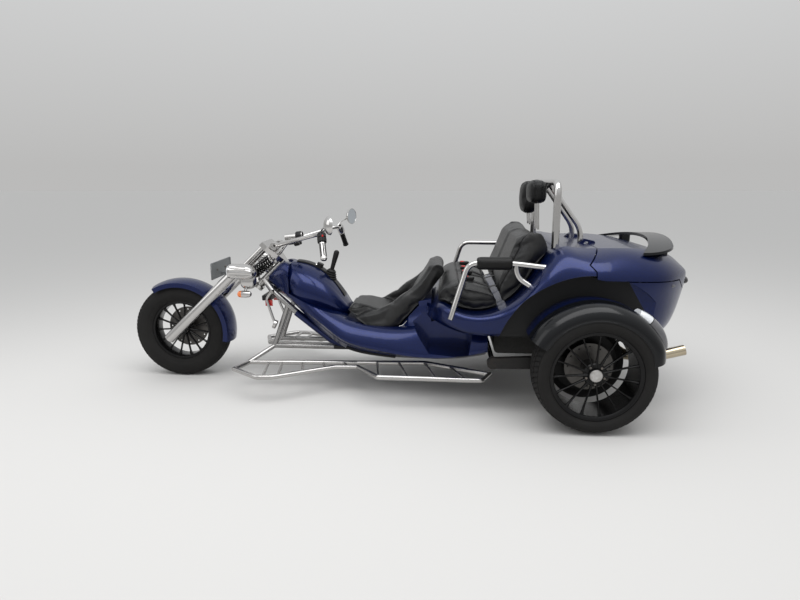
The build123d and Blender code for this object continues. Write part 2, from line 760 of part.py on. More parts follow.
def fender_plane(angle):
    """Plane through the rear axle at an angle up from the front: local x is the width, local y the radius."""
    return Plane(origin=axle_point, x_dir=(0, 1, 0), z_dir=(sin(radians(angle)), 0, -cos(radians(angle))))


fender_pieces = {
    "fender_inner": [(arch_inner + part_gap, 362), (640, 374), (700, 375), (700, 381), (640, 380),
                     (arch_inner + part_gap, 368)],
    "fender_band": [(700 + part_gap, 375), (770, 370), (815, 354), (838, 325), (840, 298), (846, 298),
                    (844, 328), (820, 360), (772, 377), (700 + part_gap, 381)],
}
for node, outline in fender_pieces.items():
    with BuildPart() as fender:
        for side in (1, -1):
            with BuildSketch(fender_plane(fender_front)):
                with BuildLine():
                    Polyline(*[(side * y, r) for y, r in outline], close=True)
                make_face()
            revolve(axis=Axis(axle_point, (0, -1, 0)), revolution_arc=fender_sweep)
    save(fender, node)

# Tail lamps on the fenders' rear ends
with BuildPart() as tail_lamps:
    for side in (1, -1):
        with BuildSketch(fender_plane(124)):
            with Locations((side * 712, 396.3)):
                RectangleRounded(130, 30, 12)
        revolve(axis=Axis(axle_point, (0, -1, 0)), revolution_arc=36)
save(tail_lamps, "tail_lamps")

# Exhausts, from the gearbox's end to the tips
with BuildPart() as exhausts:
    for side in (1, -1):
        tube([at(-120 - part_gap, side * 105, 330), at(-205, side * 105, 330), at(-275, side * 370, 305),
              at(-420, side * 400, 300), at(-602, side * 400, 348)], 30, 38)
        with BuildSketch(Plane(origin=at(-602, side * 400, 348), z_dir=(182, 0, -48))):
            Circle(26)
        extrude(amount=110, mode=Mode.SUBTRACT)
save(exhausts, "exhausts")

# Fork legs with the front axle
leg_radius = 32.5
leg_y = 187
with BuildPart() as fork_legs:
    for side in (1, -1):
        with BuildSketch(fork_plane(-32)):
            with Locations((0, side * leg_y)):
                Circle(leg_radius)
        extrude(amount=leg_top + 32)
    with BuildSketch(side_plane()):
        with Locations((wheelbase, front_tyre_radius)):
            Circle(front_axle_radius)
    extrude(amount=leg_y, both=True)
save(fork_legs, "fork_legs")

# Handlebar, pulled back to the driver, and its grips
bar_radius = 11
bar_clamp = (1878, 70, 895)
bar_bend = (1540, 262, 988)
bar_end = (1484, 395, 845)
grip_radius = 17.5
grip_from = 62
with BuildPart() as handlebar:
    half_bar = [at(*bar_end), at(*bar_bend), at(*bar_clamp)]
    tube(half_bar + list(reversed(mirrored(half_bar))), bar_radius, 34)
save(handlebar, "handlebar")
with BuildPart() as grips:
    for side in (1, -1):
        bend_point = at(bar_bend[0], side * bar_bend[1], bar_bend[2])
        end_point = at(bar_end[0], side * bar_end[1], bar_end[2])
        grip_line = (end_point - bend_point).normalized()
        with BuildSketch(Plane(origin=bend_point + grip_line * grip_from, z_dir=grip_line)):
            Circle(grip_radius)
            Circle(bar_radius + part_gap, mode=Mode.SUBTRACT)
        extrude(amount=(end_point - bend_point).length - grip_from)
save(grips, "grips")

# Fork yokes: two plates, the stem, the upper tubes and the handlebar's risers
top_yoke = head_high + move_gap
with BuildPart() as fork_yokes:
    with BuildSketch(fork_plane(lower_yoke)):
        for y in (leg_y, -leg_y):
            with Locations((0, y)):
                Circle(leg_radius)
        with Locations((-stem_offset, 0)):
            Circle(36)
        with BuildLine():
            Polyline((24, -leg_y), (24, leg_y), (-26, leg_y), (-stem_offset, 34), (-stem_offset, -34),
                     (-26, -leg_y), close=True)
        make_face()
    extrude(amount=yoke_thick)
    with BuildSketch(fork_plane(top_yoke)):
        with Locations((-stem_offset, 0)):
            Circle(yoke_root + 2)
            Polygon(*upper_outline, align=None)
    extrude(amount=yoke_thick + 4)
    with BuildSketch(fork_plane(lower_yoke + 10)):
        for y in (upper_tube_y, -upper_tube_y):
            with Locations((0, y)):
                Circle(16)
        with Locations((-stem_offset, 0)):
            Circle(stem_radius)
    extrude(amount=top_yoke + 10 - lower_yoke)
    with BuildSketch(fork_plane(top_yoke + 20)):
        for y in (58, -58):
            with Locations((-42, y)):
                RectangleRounded(44, 34, 8)
    extrude(amount=50)
    add(handlebar.part, mode=Mode.SUBTRACT)
save(fork_yokes, "fork_yokes")

# Spring strut between the yokes
strut_front = -74
strut_low = lower_yoke + yoke_thick + part_gap
strut_high = top_yoke - part_gap
coils = 8
coil_pitch = 20
with BuildPart() as spring_strut:
    with BuildSketch(fork_plane(strut_low, strut_front)):
        Circle(14)
    extrude(amount=strut_high - strut_low)
    with BuildSketch(fork_plane(strut_low + 22, strut_front)):
        Circle(21)
    extrude(amount=coils * coil_pitch)
    for i in range(coils):
        with BuildSketch(fork_plane(strut_low + 26 + i * coil_pitch, strut_front)):
            Circle(30)
        extrude(amount=9)
save(spring_strut, "spring_strut")

# Headlamps: bullet shells on arms from the lower yoke
lamp_y = 298
lamp_x = (1905, 2096)
lamp_z = 748
lamp_radius = 73
with BuildPart() as headlamps:
    for side in (1, -1):
        lamp_rear = at(lamp_x[0], side * lamp_y, lamp_z)
        depth = lamp_x[1] - lamp_x[0]
        with BuildSketch(Plane(origin=lamp_rear, x_dir=(1, 0, 0), z_dir=(0, -1, 0))):
            with BuildLine():
                Spline((0, 0), (30, 41), (82, 64), (132, lamp_radius), tangents=((0, 1), (1, 0.1)))
                Line((132, lamp_radius), (depth - 8, lamp_radius))
                Spline((depth - 8, lamp_radius), (depth - 2, 40), (depth, 0), tangents=((1, -1), (0, -1)))
                Line((depth, 0), (0, 0))
            make_face()
        revolve(axis=Axis(lamp_rear, (1, 0, 0)))
        tube([fork_at(-12, side * 190, lower_yoke + 12), at(2030, side * 262, 735)], 9)
    add(fork_yokes.part, mode=Mode.SUBTRACT)
    add(fork_legs.part, mode=Mode.SUBTRACT)
save(headlamps, "headlamps")

# Indicators below the headlamps
flasher_x = (1965, 2050)
flasher_z = 630
flasher_radius = 26
with BuildPart() as indicators:
    for side in (1, -1):
        flasher_rear = at(flasher_x[0], side * lamp_y, flasher_z)
        depth = flasher_x[1] - flasher_x[0]
        with BuildSketch(Plane(origin=flasher_rear, x_dir=(1, 0, 0), z_dir=(0, -1, 0))):
            with BuildLine():
                Spline((0, 0), (7, 17), (26, flasher_radius), tangents=((0, 1), (1, 0)))
                Line((26, flasher_radius), (depth - 20, flasher_radius))
                Spline((depth - 20, flasher_radius), (depth - 6, 17), (depth, 0), tangents=((1, 0), (0, -1)))
                Line((depth, 0), (0, 0))
            make_face()
        revolve(axis=Axis(flasher_rear, (1, 0, 0)))
        tube([at(2012, side * lamp_y, flasher_z), at(2012, side * lamp_y, lamp_z - 60)], 7)
    add(headlamps.part, mode=Mode.SUBTRACT)
save(indicators, "indicators")

# Mirrors on stems from the handlebar
mirror_at = (1444, 411, 1054)
mirror_radius = 52
with BuildPart() as mirrors:
    for side in (1, -1):
        mirror_point = at(mirror_at[0], side * mirror_at[1], mirror_at[2])
        facing = Vector(-0.98, -0.19 * side, 0)
        with BuildSketch(Plane(origin=mirror_point, x_dir=(0, 0, 1), z_dir=facing.cross(Vector(0, 0, 1)))):
            with BuildLine():
                ThreePointArc((0, 26), (34, 17), (mirror_radius, 0))
                Polyline((mirror_radius, 0), (mirror_radius - 2, -5), (0, -5), (0, 26))
            make_face()
        revolve(axis=Axis(mirror_point, facing))
        tube([at(1532, side * 285, 976), at(1505, side * 325, 1015), at(1462, side * 400, 1040)], 5, 20)
    add(handlebar.part, mode=Mode.SUBTRACT)
save(mirrors, "mirrors")

# Gauge pod over the yoke
gauge_front = at(1826, 0, 927)
gauge_back = at(1704, 0, 956)
with BuildPart() as gauge:
    with BuildSketch(Plane(origin=gauge_front, z_dir=(gauge_back - gauge_front))):
        Circle(36)
    extrude(amount=(gauge_back - gauge_front).length)
    tube([at(1790, 0, 925), at(1866, 0, 830)], 9)
    add(fork_yokes.part, mode=Mode.SUBTRACT)
save(gauge, "gauge")

# Number plate, blank, on its arm
plate_x = 2265
with BuildPart() as number_plate:
    with BuildSketch(cross_plane(plate_x)):
        with Locations((0, 736)):
            RectangleRounded(340, 108, 8)
    extrude(amount=3)
    tube([at(plate_x, 0, 705), at(2118, 0, 732)], 8)
    add(fork_yokes.part, mode=Mode.SUBTRACT)
save(number_plate, "number_plate")

# Front fender: a thin channel turned about the front axle, on pegs from the legs
front_fender_from = 60
front_fender_sweep = 132
peg_along = 332
with BuildPart() as front_fender:
    fender_start = Plane(origin=front_centre, x_dir=(0, 1, 0),
                         z_dir=(sin(radians(front_fender_from)), 0, -cos(radians(front_fender_from))))
    with BuildSketch(fender_start):
        with BuildLine():
            Line((-92, 300), (-92, 330))
            ThreePointArc((-92, 330), (0, 349), (92, 330))
            Polyline((92, 330), (92, 300), (88, 300), (88, 327))
            ThreePointArc((88, 327), (0, 345), (-88, 327))
            Polyline((-88, 327), (-88, 300), (-92, 300))
        make_face()
    revolve(axis=Axis(front_centre, (0, -1, 0)), revolution_arc=front_fender_sweep)
    for side in (1, -1):
        with BuildSketch(Plane(origin=fork_at(0, side * 89, peg_along), x_dir=(1, 0, 0), z_dir=(0, side, 0))):
            Circle(9)
        extrude(amount=leg_y - 89 - leg_radius + 4)
    add(fork_legs.part, mode=Mode.SUBTRACT)
save(front_fender, "front_fender")

# Front caliper on the right leg
with BuildPart() as front_caliper:
    with BuildSketch(fork_plane(62)):
        with Locations((-62, -88)):
            RectangleRounded(46, 26, 5)
    extrude(amount=88)
    with BuildSketch(fork_plane(88)):
        with Locations((-48, -128)):
            Rectangle(24, 62)
        with Locations((-24, -150)):
            Rectangle(60, 22)
    extrude(amount=34)
    add(fork_legs.part, mode=Mode.SUBTRACT)
save(front_caliper, "front_caliper")

# Foot pedals hung from the cross bar
with BuildPart() as foot_pedals:
    for side in (1, -1):
        tube([at(1904, side * 106, 597), at(1934, side * 108, 552), at(1908, side * 116, 470),
              at(1880, side * 124, 392)], 9, 22)
        with BuildSketch(Plane(origin=at(1880, side * 124, 388), z_dir=(0.93, 0, 0.37), x_dir=(0, 1, 0))):
            Circle(29)
        extrude(amount=9, both=True)
    add(frame.part, mode=Mode.SUBTRACT)
save(foot_pedals, "foot_pedals")

# Front reflector on its bracket
with BuildPart() as front_reflector:
    with BuildSketch(side_plane()):
        with Locations((1938, 555)):
            RectangleRounded(62, 34, 6)
    extrude(amount=90, both=True)
    with BuildSketch(side_plane()):
        with Locations((1922, 586)):
            Rectangle(26, 36)
    extrude(amount=14, both=True)
    add(frame.part, mode=Mode.SUBTRACT)
save(front_reflector, "front_reflector")
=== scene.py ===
import math

import bmesh
import bpy
from mathutils import Matrix, Vector
from mathutils.bvhtree import BVHTree
from mathutils.kdtree import KDTree


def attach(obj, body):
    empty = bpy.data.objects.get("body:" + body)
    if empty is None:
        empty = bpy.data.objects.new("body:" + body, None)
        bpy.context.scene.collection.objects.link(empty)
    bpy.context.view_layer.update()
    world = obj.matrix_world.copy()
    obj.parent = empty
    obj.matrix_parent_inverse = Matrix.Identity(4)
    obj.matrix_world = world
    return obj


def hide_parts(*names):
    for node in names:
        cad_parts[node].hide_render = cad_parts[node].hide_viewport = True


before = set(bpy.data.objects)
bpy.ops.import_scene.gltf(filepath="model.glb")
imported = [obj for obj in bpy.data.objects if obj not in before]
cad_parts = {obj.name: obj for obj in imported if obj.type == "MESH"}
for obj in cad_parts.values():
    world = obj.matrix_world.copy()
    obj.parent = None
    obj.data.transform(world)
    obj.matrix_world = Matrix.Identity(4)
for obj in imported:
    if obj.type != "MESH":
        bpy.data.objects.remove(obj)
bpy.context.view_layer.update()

# Driving dimensions. Points are given in millimetres: stations run forward from the rear axle,
# heights up from the ground, and +Y is the vehicle's left. The frame is in metres.
axleX = -1.0875  # the rear axle's place along the frame, in metres
wheelbase = 2548
halfTrack = 725
frontRadius = 317
rearRadius = 320


def say(stage):
    print("stage:", stage)


def at(x, y, z):
    return Vector((axleX + x / 1000, y / 1000, z / 1000))


def nameOf(side):
    return "left" if side > 0 else "right"


# node helpers
def newMaterial(name):
    material = bpy.data.materials.new(name)
    material.use_nodes = True
    return material, material.node_tree, material.node_tree.nodes["Principled BSDF"]


def addNode(tree, kind, **values):
    made = tree.nodes.new(kind)
    for key, value in values.items():
        setattr(made, key, value)
    return made


def objectPoint(tree):
    return tree.nodes.new("ShaderNodeTexCoord").outputs["Object"]


def splitPoint(tree, point):
    split = addNode(tree, "ShaderNodeSeparateXYZ")
    tree.links.new(point, split.inputs[0])
    return split.outputs


def noise(tree, point, scale, detail=3, roughness=0.5):
    made = tree.nodes.new("ShaderNodeTexNoise")
    made.inputs["Scale"].default_value = scale
    made.inputs["Detail"].default_value = detail
    made.inputs["Roughness"].default_value = roughness
    tree.links.new(point, made.inputs["Vector"])
    return made.outputs["Fac"]


def remap(tree, value, low, high, outLow=0.0, outHigh=1.0):
    made = tree.nodes.new("ShaderNodeMapRange")
    made.clamp = True
    for label, number in (("From Min", low), ("From Max", high), ("To Min", outLow), ("To Max", outHigh)):
        made.inputs[label].default_value = number
    tree.links.new(value, made.inputs["Value"])
    return made.outputs["Result"]


def maths(tree, operation, first, second=None):
    made = addNode(tree, "ShaderNodeMath", operation=operation)
    for i, value in enumerate((first, second)):
        if value is None:
            continue
        if isinstance(value, (int, float)):
            made.inputs[i].default_value = value
        else:
            tree.links.new(value, made.inputs[i])
    return made.outputs["Value"]


def mixColour(tree, factor, first, second):
    made = addNode(tree, "ShaderNodeMix", data_type="RGBA")
    sockets = (made.inputs[0], made.inputs[6], made.inputs[7])
    for socket, value in zip(sockets, (factor, first, second)):
        if isinstance(value, (int, float)):
            socket.default_value = value
        elif isinstance(value, (tuple, list)):
            socket.default_value = (*value[:3], 1)
        else:
            tree.links.new(value, socket)
    return made.outputs[2]


def bump(tree, shader, height, distance, strength=1.0):
    made = tree.nodes.new("ShaderNodeBump")
    made.inputs["Distance"].default_value = distance
    made.inputs["Strength"].default_value = strength
    tree.links.new(height, made.inputs["Height"])
    tree.links.new(made.outputs["Normal"], shader.inputs["Normal"])


def addSockets(tree, side, sockets):
    for label, kind, value in sockets:
        socket = tree.interface.new_socket(name=label, in_out=side, socket_type="NodeSocket" + kind)
        if value is not None:
            socket.default_value = value


def shaderGroup(name, inputs, outputs):
    group = bpy.data.node_groups.new(name, "ShaderNodeTree")
    addSockets(group, "INPUT", inputs)
    addSockets(group, "OUTPUT", [(label, kind, None) for label, kind in outputs])
    return group, group.nodes.new("NodeGroupInput"), group.nodes.new("NodeGroupOutput")


def useGroup(tree, group, **values):
    placed = tree.nodes.new("ShaderNodeGroup")
    placed.node_tree = group
    for key, value in values.items():
        socket = placed.inputs[key]
        if hasattr(value, "is_linked"):
            tree.links.new(value, socket)
        elif isinstance(value, (tuple, list)):
            socket.default_value = (*value[:3], 1)
        else:
            socket.default_value = value
    return placed


# road dust: thick low down and in patches, thin above
def makeDustGroup():
    group, start, end = shaderGroup("roadDust", [
        ("Colour", "Color", (0.1, 0.1, 0.1, 1)), ("Roughness", "Float", 0.4), ("Amount", "Float", 0.3),
        ("DustColour", "Color", (0.16, 0.135, 0.11, 1)), ("TopHeight", "Float", 0.75)],
        [("Colour", "Color"), ("Roughness", "Float"), ("Mask", "Float")])
    point = objectPoint(group)
    patches = remap(group, noise(group, point, 6.5, 5, 0.6), 0.38, 0.72)
    specks = remap(group, noise(group, point, 160, 2), 0.45, 0.7)
    height = maths(group, "DIVIDE", splitPoint(group, point)["Z"], start.outputs["TopHeight"])
    low = remap(group, height, 0.05, 1.0, 1.0, 0.18)
    spread = maths(group, "ADD", maths(group, "MULTIPLY", patches, 0.7),
                   maths(group, "MULTIPLY", specks, 0.3))
    mask = maths(group, "MULTIPLY", maths(group, "MULTIPLY", spread, low), start.outputs["Amount"])
    colour = mixColour(group, mask, start.outputs["Colour"], start.outputs["DustColour"])
    rough = maths(group, "ADD", start.outputs["Roughness"], maths(group, "MULTIPLY", mask, 0.5))
    group.links.new(colour, end.inputs["Colour"])
    group.links.new(rough, end.inputs["Roughness"])
    group.links.new(mask, end.inputs["Mask"])
    return group


# wear: bare metal along edges and in small chips
def makeWearGroup():
    group, start, end = shaderGroup("edgeWear", [
        ("Colour", "Color", (0.1, 0.1, 0.1, 1)), ("Bare", "Color", (0.5, 0.5, 0.5, 1)),
        ("Amount", "Float", 0.5)], [("Colour", "Color"), ("Mask", "Float")])
    geometry = addNode(group, "ShaderNodeNewGeometry")
    edges = remap(group, geometry.outputs["Pointiness"], 0.505, 0.54)
    broken = remap(group, noise(group, objectPoint(group), 60, 4, 0.6), 0.42, 0.62)
    mask = maths(group, "MULTIPLY", maths(group, "MULTIPLY", edges, broken), start.outputs["Amount"])
    colour = mixColour(group, mask, start.outputs["Colour"], start.outputs["Bare"])
    group.links.new(colour, end.inputs["Colour"])
    group.links.new(mask, end.inputs["Mask"])
    return group


# leather: pebbled cells with fine creases, as a height
def makeGrainGroup():
    group, start, end = shaderGroup("leatherGrain", [("CellSize", "Float", 420.0), ("Creases", "Float", 0.5)],
                                    [("Height", "Float"), ("Tone", "Float")])
    point = objectPoint(group)
    cells = addNode(group, "ShaderNodeTexVoronoi", feature="DISTANCE_TO_EDGE")
    group.links.new(point, cells.inputs["Vector"])
    group.links.new(start.outputs["CellSize"], cells.inputs["Scale"])
    pebble = remap(group, cells.outputs["Distance"], 0.0, 0.3)
    creases = maths(group, "MULTIPLY", noise(group, point, 38, 6, 0.65), start.outputs["Creases"])
    group.links.new(maths(group, "ADD", pebble, creases), end.inputs["Height"])
    group.links.new(noise(group, point, 9, 4, 0.6), end.inputs["Tone"])
    return group


dustGroup = makeDustGroup()
wearGroup = makeWearGroup()
grainGroup = makeGrainGroup()


# dust over a plain finish, linked to the shader's colour and roughness
def dustOver(tree, shader, colour, rough, amount, **values):
    dusty = useGroup(tree, dustGroup, Colour=colour, Roughness=rough, Amount=amount, **values)
    tree.links.new(dusty.outputs["Colour"], shader.inputs["Base Color"])
    tree.links.new(dusty.outputs["Roughness"], shader.inputs["Roughness"])
    return dusty


paintKinds = {
    "bluePaint": {"base": (0.0008, 0.0048, 0.04), "flake": (0.0024, 0.02, 0.15), "rough": 0.27, "metal": 0.65,
                  "dust": 0.012, "coat": 0.3, "gloss": 0.5},
    "darkPaint": {"base": (0.003, 0.0034, 0.0045), "flake": (0.009, 0.01, 0.014), "rough": 0.22, "metal": 0.4,
                  "dust": 0.02, "coat": 0.12, "gloss": 0.5},
    "blackPaint": {"base": (0.0025, 0.003, 0.004), "flake": (0.006, 0.007, 0.009), "rough": 0.2, "metal": 0.1,
                   "dust": 0.015, "coat": 0.08, "gloss": 0.3},
}
# the rear body is the same blue, with painted shade in the wheel arches (near black, dull, without metal or
# coat) as far as a straight line behind them
paintKinds["bodyPaintArchShade"] = {**paintKinds["bluePaint"], "archRadius": 0.4958, "archSlope": 0.593,
                           "archLine": 1.754, "archShadeColour": (0.004, 0.004, 0.0042), "archShadeRough": 0.4}


# where the painted shade of the wheel arches stops: outside the arch's circle or behind the straight line
def outsideArch(tree, point, sizes):
    place = splitPoint(tree, point)
    along = maths(tree, "SUBTRACT", place["X"], axleX)
    above = maths(tree, "SUBTRACT", place["Z"], rearRadius / 1000)
    squares = maths(tree, "ADD", maths(tree, "MULTIPLY", along, along), maths(tree, "MULTIPLY", above, above))
    reach = maths(tree, "SQRT", squares)
    behind = maths(tree, "SUBTRACT", maths(tree, "MULTIPLY", place["Z"], sizes["archSlope"]), place["X"])
    return maths(tree, "MAXIMUM",
                 remap(tree, reach, sizes["archRadius"] - 0.0003, sizes["archRadius"] + 0.0003),
                 remap(tree, behind, sizes["archLine"], sizes["archLine"] + 0.0005))


def paintMaterial(name, sizes):
    material, tree, shader = newMaterial(name)
    point = objectPoint(tree)
    flakes = addNode(tree, "ShaderNodeTexVoronoi")
    flakes.inputs["Scale"].default_value = 1400
    tree.links.new(point, flakes.inputs["Vector"])
    split = addNode(tree, "ShaderNodeSeparateColor")
    tree.links.new(flakes.outputs["Color"], split.inputs[0])
    cloud = remap(tree, noise(tree, point, 3.2, 3), 0.2, 0.8, 0.55, 1.0)
    sparkle = maths(tree, "MULTIPLY", remap(tree, split.outputs[0], 0.35, 1.0), cloud)
    colour = mixColour(tree, sparkle, sizes["base"], sizes["flake"])
    dusty = dustOver(tree, shader, colour, sizes["rough"], sizes["dust"])
    shader.inputs["Specular IOR Level"].default_value = sizes["gloss"]
    shader.inputs["Metallic"].default_value = sizes["metal"]
    shader.inputs["Coat Weight"].default_value = sizes["coat"]
    shader.inputs["Coat Roughness"].default_value = 0.045
    # painted shade: inside the wheel arches the colour is near black and dull, for the shade in the recess
    if "archRadius" in sizes:
        outside = outsideArch(tree, point, sizes)
        inside = maths(tree, "MULTIPLY", maths(tree, "SUBTRACT", 1.0, outside), sizes["archShadeRough"])
        tree.links.new(mixColour(tree, outside, sizes["archShadeColour"], dusty.outputs["Colour"]),
                       shader.inputs["Base Color"])
        tree.links.new(maths(tree, "ADD", dusty.outputs["Roughness"], inside), shader.inputs["Roughness"])
        tree.links.new(maths(tree, "MULTIPLY", outside, sizes["metal"]), shader.inputs["Metallic"])
        tree.links.new(maths(tree, "MULTIPLY", outside, sizes["coat"]), shader.inputs["Coat Weight"])
    bump(tree, shader, noise(tree, point, 12, 2), 0.0006, 0.35)
    return material


metalKinds = {
    "chrome": {"base": (0.56, 0.55, 0.54), "rough": 0.1, "dust": 0.1, "spots": 0.12},
    "boardChrome": {"base": (0.5, 0.49, 0.48), "rough": 0.2, "dust": 0.2, "spots": 0.2},
    "exhaustChrome": {"base": (0.52, 0.45, 0.33), "rough": 0.2, "dust": 0.15, "spots": 0.3},
    # the discs: dark iron, made darker still as painted shade for the inside of the wheels
    "discSteelShaded": {"base": (0.12, 0.115, 0.11), "rough": 0.36, "dust": 0.2, "spots": 0.5},
    "mirrorGlass": {"base": (0.62, 0.66, 0.7), "rough": 0.03, "dust": 0.04, "spots": 0.0},
}


def metalMaterial(name, sizes):
    material, tree, shader = newMaterial(name)
    point = objectPoint(tree)
    stains = remap(tree, noise(tree, point, 34, 6, 0.7), 0.5, 0.72, 0.0, sizes["spots"])
    colour = mixColour(tree, stains, sizes["base"], tuple(0.42 * c for c in sizes["base"]))
    dusty = dustOver(tree, shader, colour, sizes["rough"], sizes["dust"], TopHeight=0.5)
    dull = maths(tree, "MULTIPLY", dusty.outputs["Mask"], 0.9)
    tree.links.new(maths(tree, "SUBTRACT", 1.0, dull), shader.inputs["Metallic"])
    bump(tree, shader, noise(tree, point, 90, 3), 0.0002, 0.2)
    return material


coatedKinds = {
    "wheelBlack": {"base": (0.006, 0.006, 0.0065), "bare": (0.5, 0.5, 0.5), "wear": 0.0, "rough": 0.2,
                   "dust": 0.03, "gloss": 0.28},
    "capSilver": {"base": (0.5, 0.49, 0.48), "bare": (0.3, 0.28, 0.26), "wear": 0.5, "rough": 0.36,
                  "dust": 0.35},
    "boltSteel": {"base": (0.09, 0.088, 0.085), "bare": (0.3, 0.24, 0.2), "wear": 0.5, "rough": 0.4,
                  "dust": 0.4},
    "axlePaint": {"base": (0.009, 0.009, 0.0095), "bare": (0.08, 0.05, 0.03), "wear": 0.1, "rough": 0.5,
                  "dust": 0.12},
    "framePaint": {"base": (0.36, 0.355, 0.35), "bare": (0.25, 0.22, 0.2), "wear": 0.1, "rough": 0.24,
                   "dust": 0.2, "silverFrom": 0.4125, "rearColour": (0.008, 0.008, 0.0085), "metal": 0.85},
    # the engine: a dark casting, made near black as painted shade where it sits under the body
    "engineCastShaded": {"base": (0.03, 0.03, 0.029), "bare": (0.1, 0.1, 0.1), "wear": 0.1, "rough": 0.6,
                   "dust": 0.2},
    "plateGrey": {"base": (0.17, 0.18, 0.185), "bare": (0.3, 0.3, 0.3), "wear": 0.1, "rough": 0.4,
                  "dust": 0.25},
    "redPlastic": {"base": (0.55, 0.012, 0.01), "bare": (0.6, 0.1, 0.08), "wear": 0.0, "rough": 0.3,
                   "dust": 0.1},
}


def coatedMaterial(name, sizes):
    material, tree, shader = newMaterial(name)
    point = objectPoint(tree)
    worn = useGroup(tree, wearGroup, Colour=sizes["base"], Bare=sizes["bare"], Amount=sizes["wear"])
    dusty = dustOver(tree, shader, worn.outputs["Colour"], sizes["rough"], sizes["dust"])
    shader.inputs["Metallic"].default_value = 0.35
    shader.inputs["Specular IOR Level"].default_value = sizes.get("gloss", 0.45)
    if "silverFrom" in sizes:
        # silver in front, black under the body
        start = sizes["silverFrom"]
        ahead = remap(tree, splitPoint(tree, point)["X"], start - 0.002, start + 0.002)
        tree.links.new(mixColour(tree, ahead, sizes["rearColour"], dusty.outputs["Colour"]),
                       shader.inputs["Base Color"])
        tree.links.new(maths(tree, "MULTIPLY", ahead, sizes["metal"]), shader.inputs["Metallic"])
    bump(tree, shader, noise(tree, point, 220, 3), 0.0003, 0.4)
    return material


rubberKinds = {
    "tyreRubber": {"base": (0.0075, 0.0072, 0.007), "rough": 0.74, "dust": 0.02, "grit": 420,
                   "depth": 0.0004},
    "blackRubber": {"base": (0.006, 0.006, 0.006), "rough": 0.5, "dust": 0.05, "grit": 500, "depth": 0.0003},
    "seatPiping": {"base": (0.006, 0.006, 0.0065), "rough": 0.4, "dust": 0.04, "grit": 900, "depth": 0.0001},
    "seatThread": {"base": (0.012, 0.012, 0.0125), "rough": 0.6, "dust": 0.05, "grit": 1200, "depth": 0.0001},
    "blackMoulding": {"base": (0.007, 0.007, 0.0075), "rough": 0.4, "dust": 0.06, "grit": 700,
                      "depth": 0.0002},
}


def rubberMaterial(name, sizes):
    material, tree, shader = newMaterial(name)
    point = objectPoint(tree)
    tone = remap(tree, noise(tree, point, 5, 5, 0.6), 0.3, 0.7)
    colour = mixColour(tree, tone, sizes["base"], tuple(1.7 * c for c in sizes["base"]))
    dustOver(tree, shader, colour, sizes["rough"], sizes["dust"], TopHeight=1.1)
    shader.inputs["Specular IOR Level"].default_value = 0.25
    bump(tree, shader, noise(tree, point, sizes["grit"], 4), sizes["depth"], 0.6)
    return material


leatherKinds = {
    "seatLeather": {"base": (0.004, 0.0042, 0.0046), "worn": (0.012, 0.0125, 0.0135), "rough": 0.38,
                    "depth": 0.0006, "gloss": 0.4},
    "padLeather": {"base": (0.002, 0.0021, 0.0024), "worn": (0.004, 0.0042, 0.0046), "rough": 0.4,
                   "depth": 0.0006, "gloss": 0.22},
}


def leatherMaterial(name, sizes):
    material, tree, shader = newMaterial(name)
    grain = useGroup(tree, grainGroup, CellSize=420.0, Creases=0.8)
    worn = remap(tree, grain.outputs["Tone"], 0.42, 0.7)
    colour = mixColour(tree, worn, sizes["base"], sizes["worn"])
    dustOver(tree, shader, colour, sizes["rough"], 0.04, TopHeight=1.6)
    shader.inputs["Specular IOR Level"].default_value = sizes["gloss"]
    shader.inputs["Coat Weight"].default_value = sizes["gloss"] / 4
    shader.inputs["Coat Roughness"].default_value = 0.3
    bump(tree, shader, grain.outputs["Height"], sizes["depth"], 0.5)
    return material


lensKinds = {
    "orangeLens": {"base": (0.85, 0.2, 0.02), "rough": 0.12},
    "redLens": {"base": (0.5, 0.015, 0.01), "rough": 0.12},
    "clearLens": {"base": (0.75, 0.77, 0.8), "rough": 0.08},
    "smokeLens": {"base": (0.1, 0.1, 0.11), "rough": 0.1},
}


def lensMaterial(name, sizes):
    material, tree, shader = newMaterial(name)
    ribs = addNode(tree, "ShaderNodeTexWave", wave_type="BANDS", bands_direction="Y")
    ribs.inputs["Scale"].default_value = 60
    tree.links.new(objectPoint(tree), ribs.inputs["Vector"])
    dustOver(tree, shader, sizes["base"], sizes["rough"], 0.25)
    shader.inputs["Coat Weight"].default_value = 1.0
    shader.inputs["Coat Roughness"].default_value = 0.04
    bump(tree, shader, ribs.outputs["Fac"], 0.0006, 0.4)
    return material


finishes = {}
for kinds, maker in ((paintKinds, paintMaterial), (metalKinds, metalMaterial), (coatedKinds, coatedMaterial),
                     (rubberKinds, rubberMaterial), (leatherKinds, leatherMaterial),
                     (lensKinds, lensMaterial)):
    for name, sizes in kinds.items():
        finishes[name] = maker(name, sizes)
say("finishes")


def dress(obj, finish):
    obj.data.materials.clear()
    obj.data.materials.append(finishes[finish])
    for face in obj.data.polygons:
        face.material_index = 0


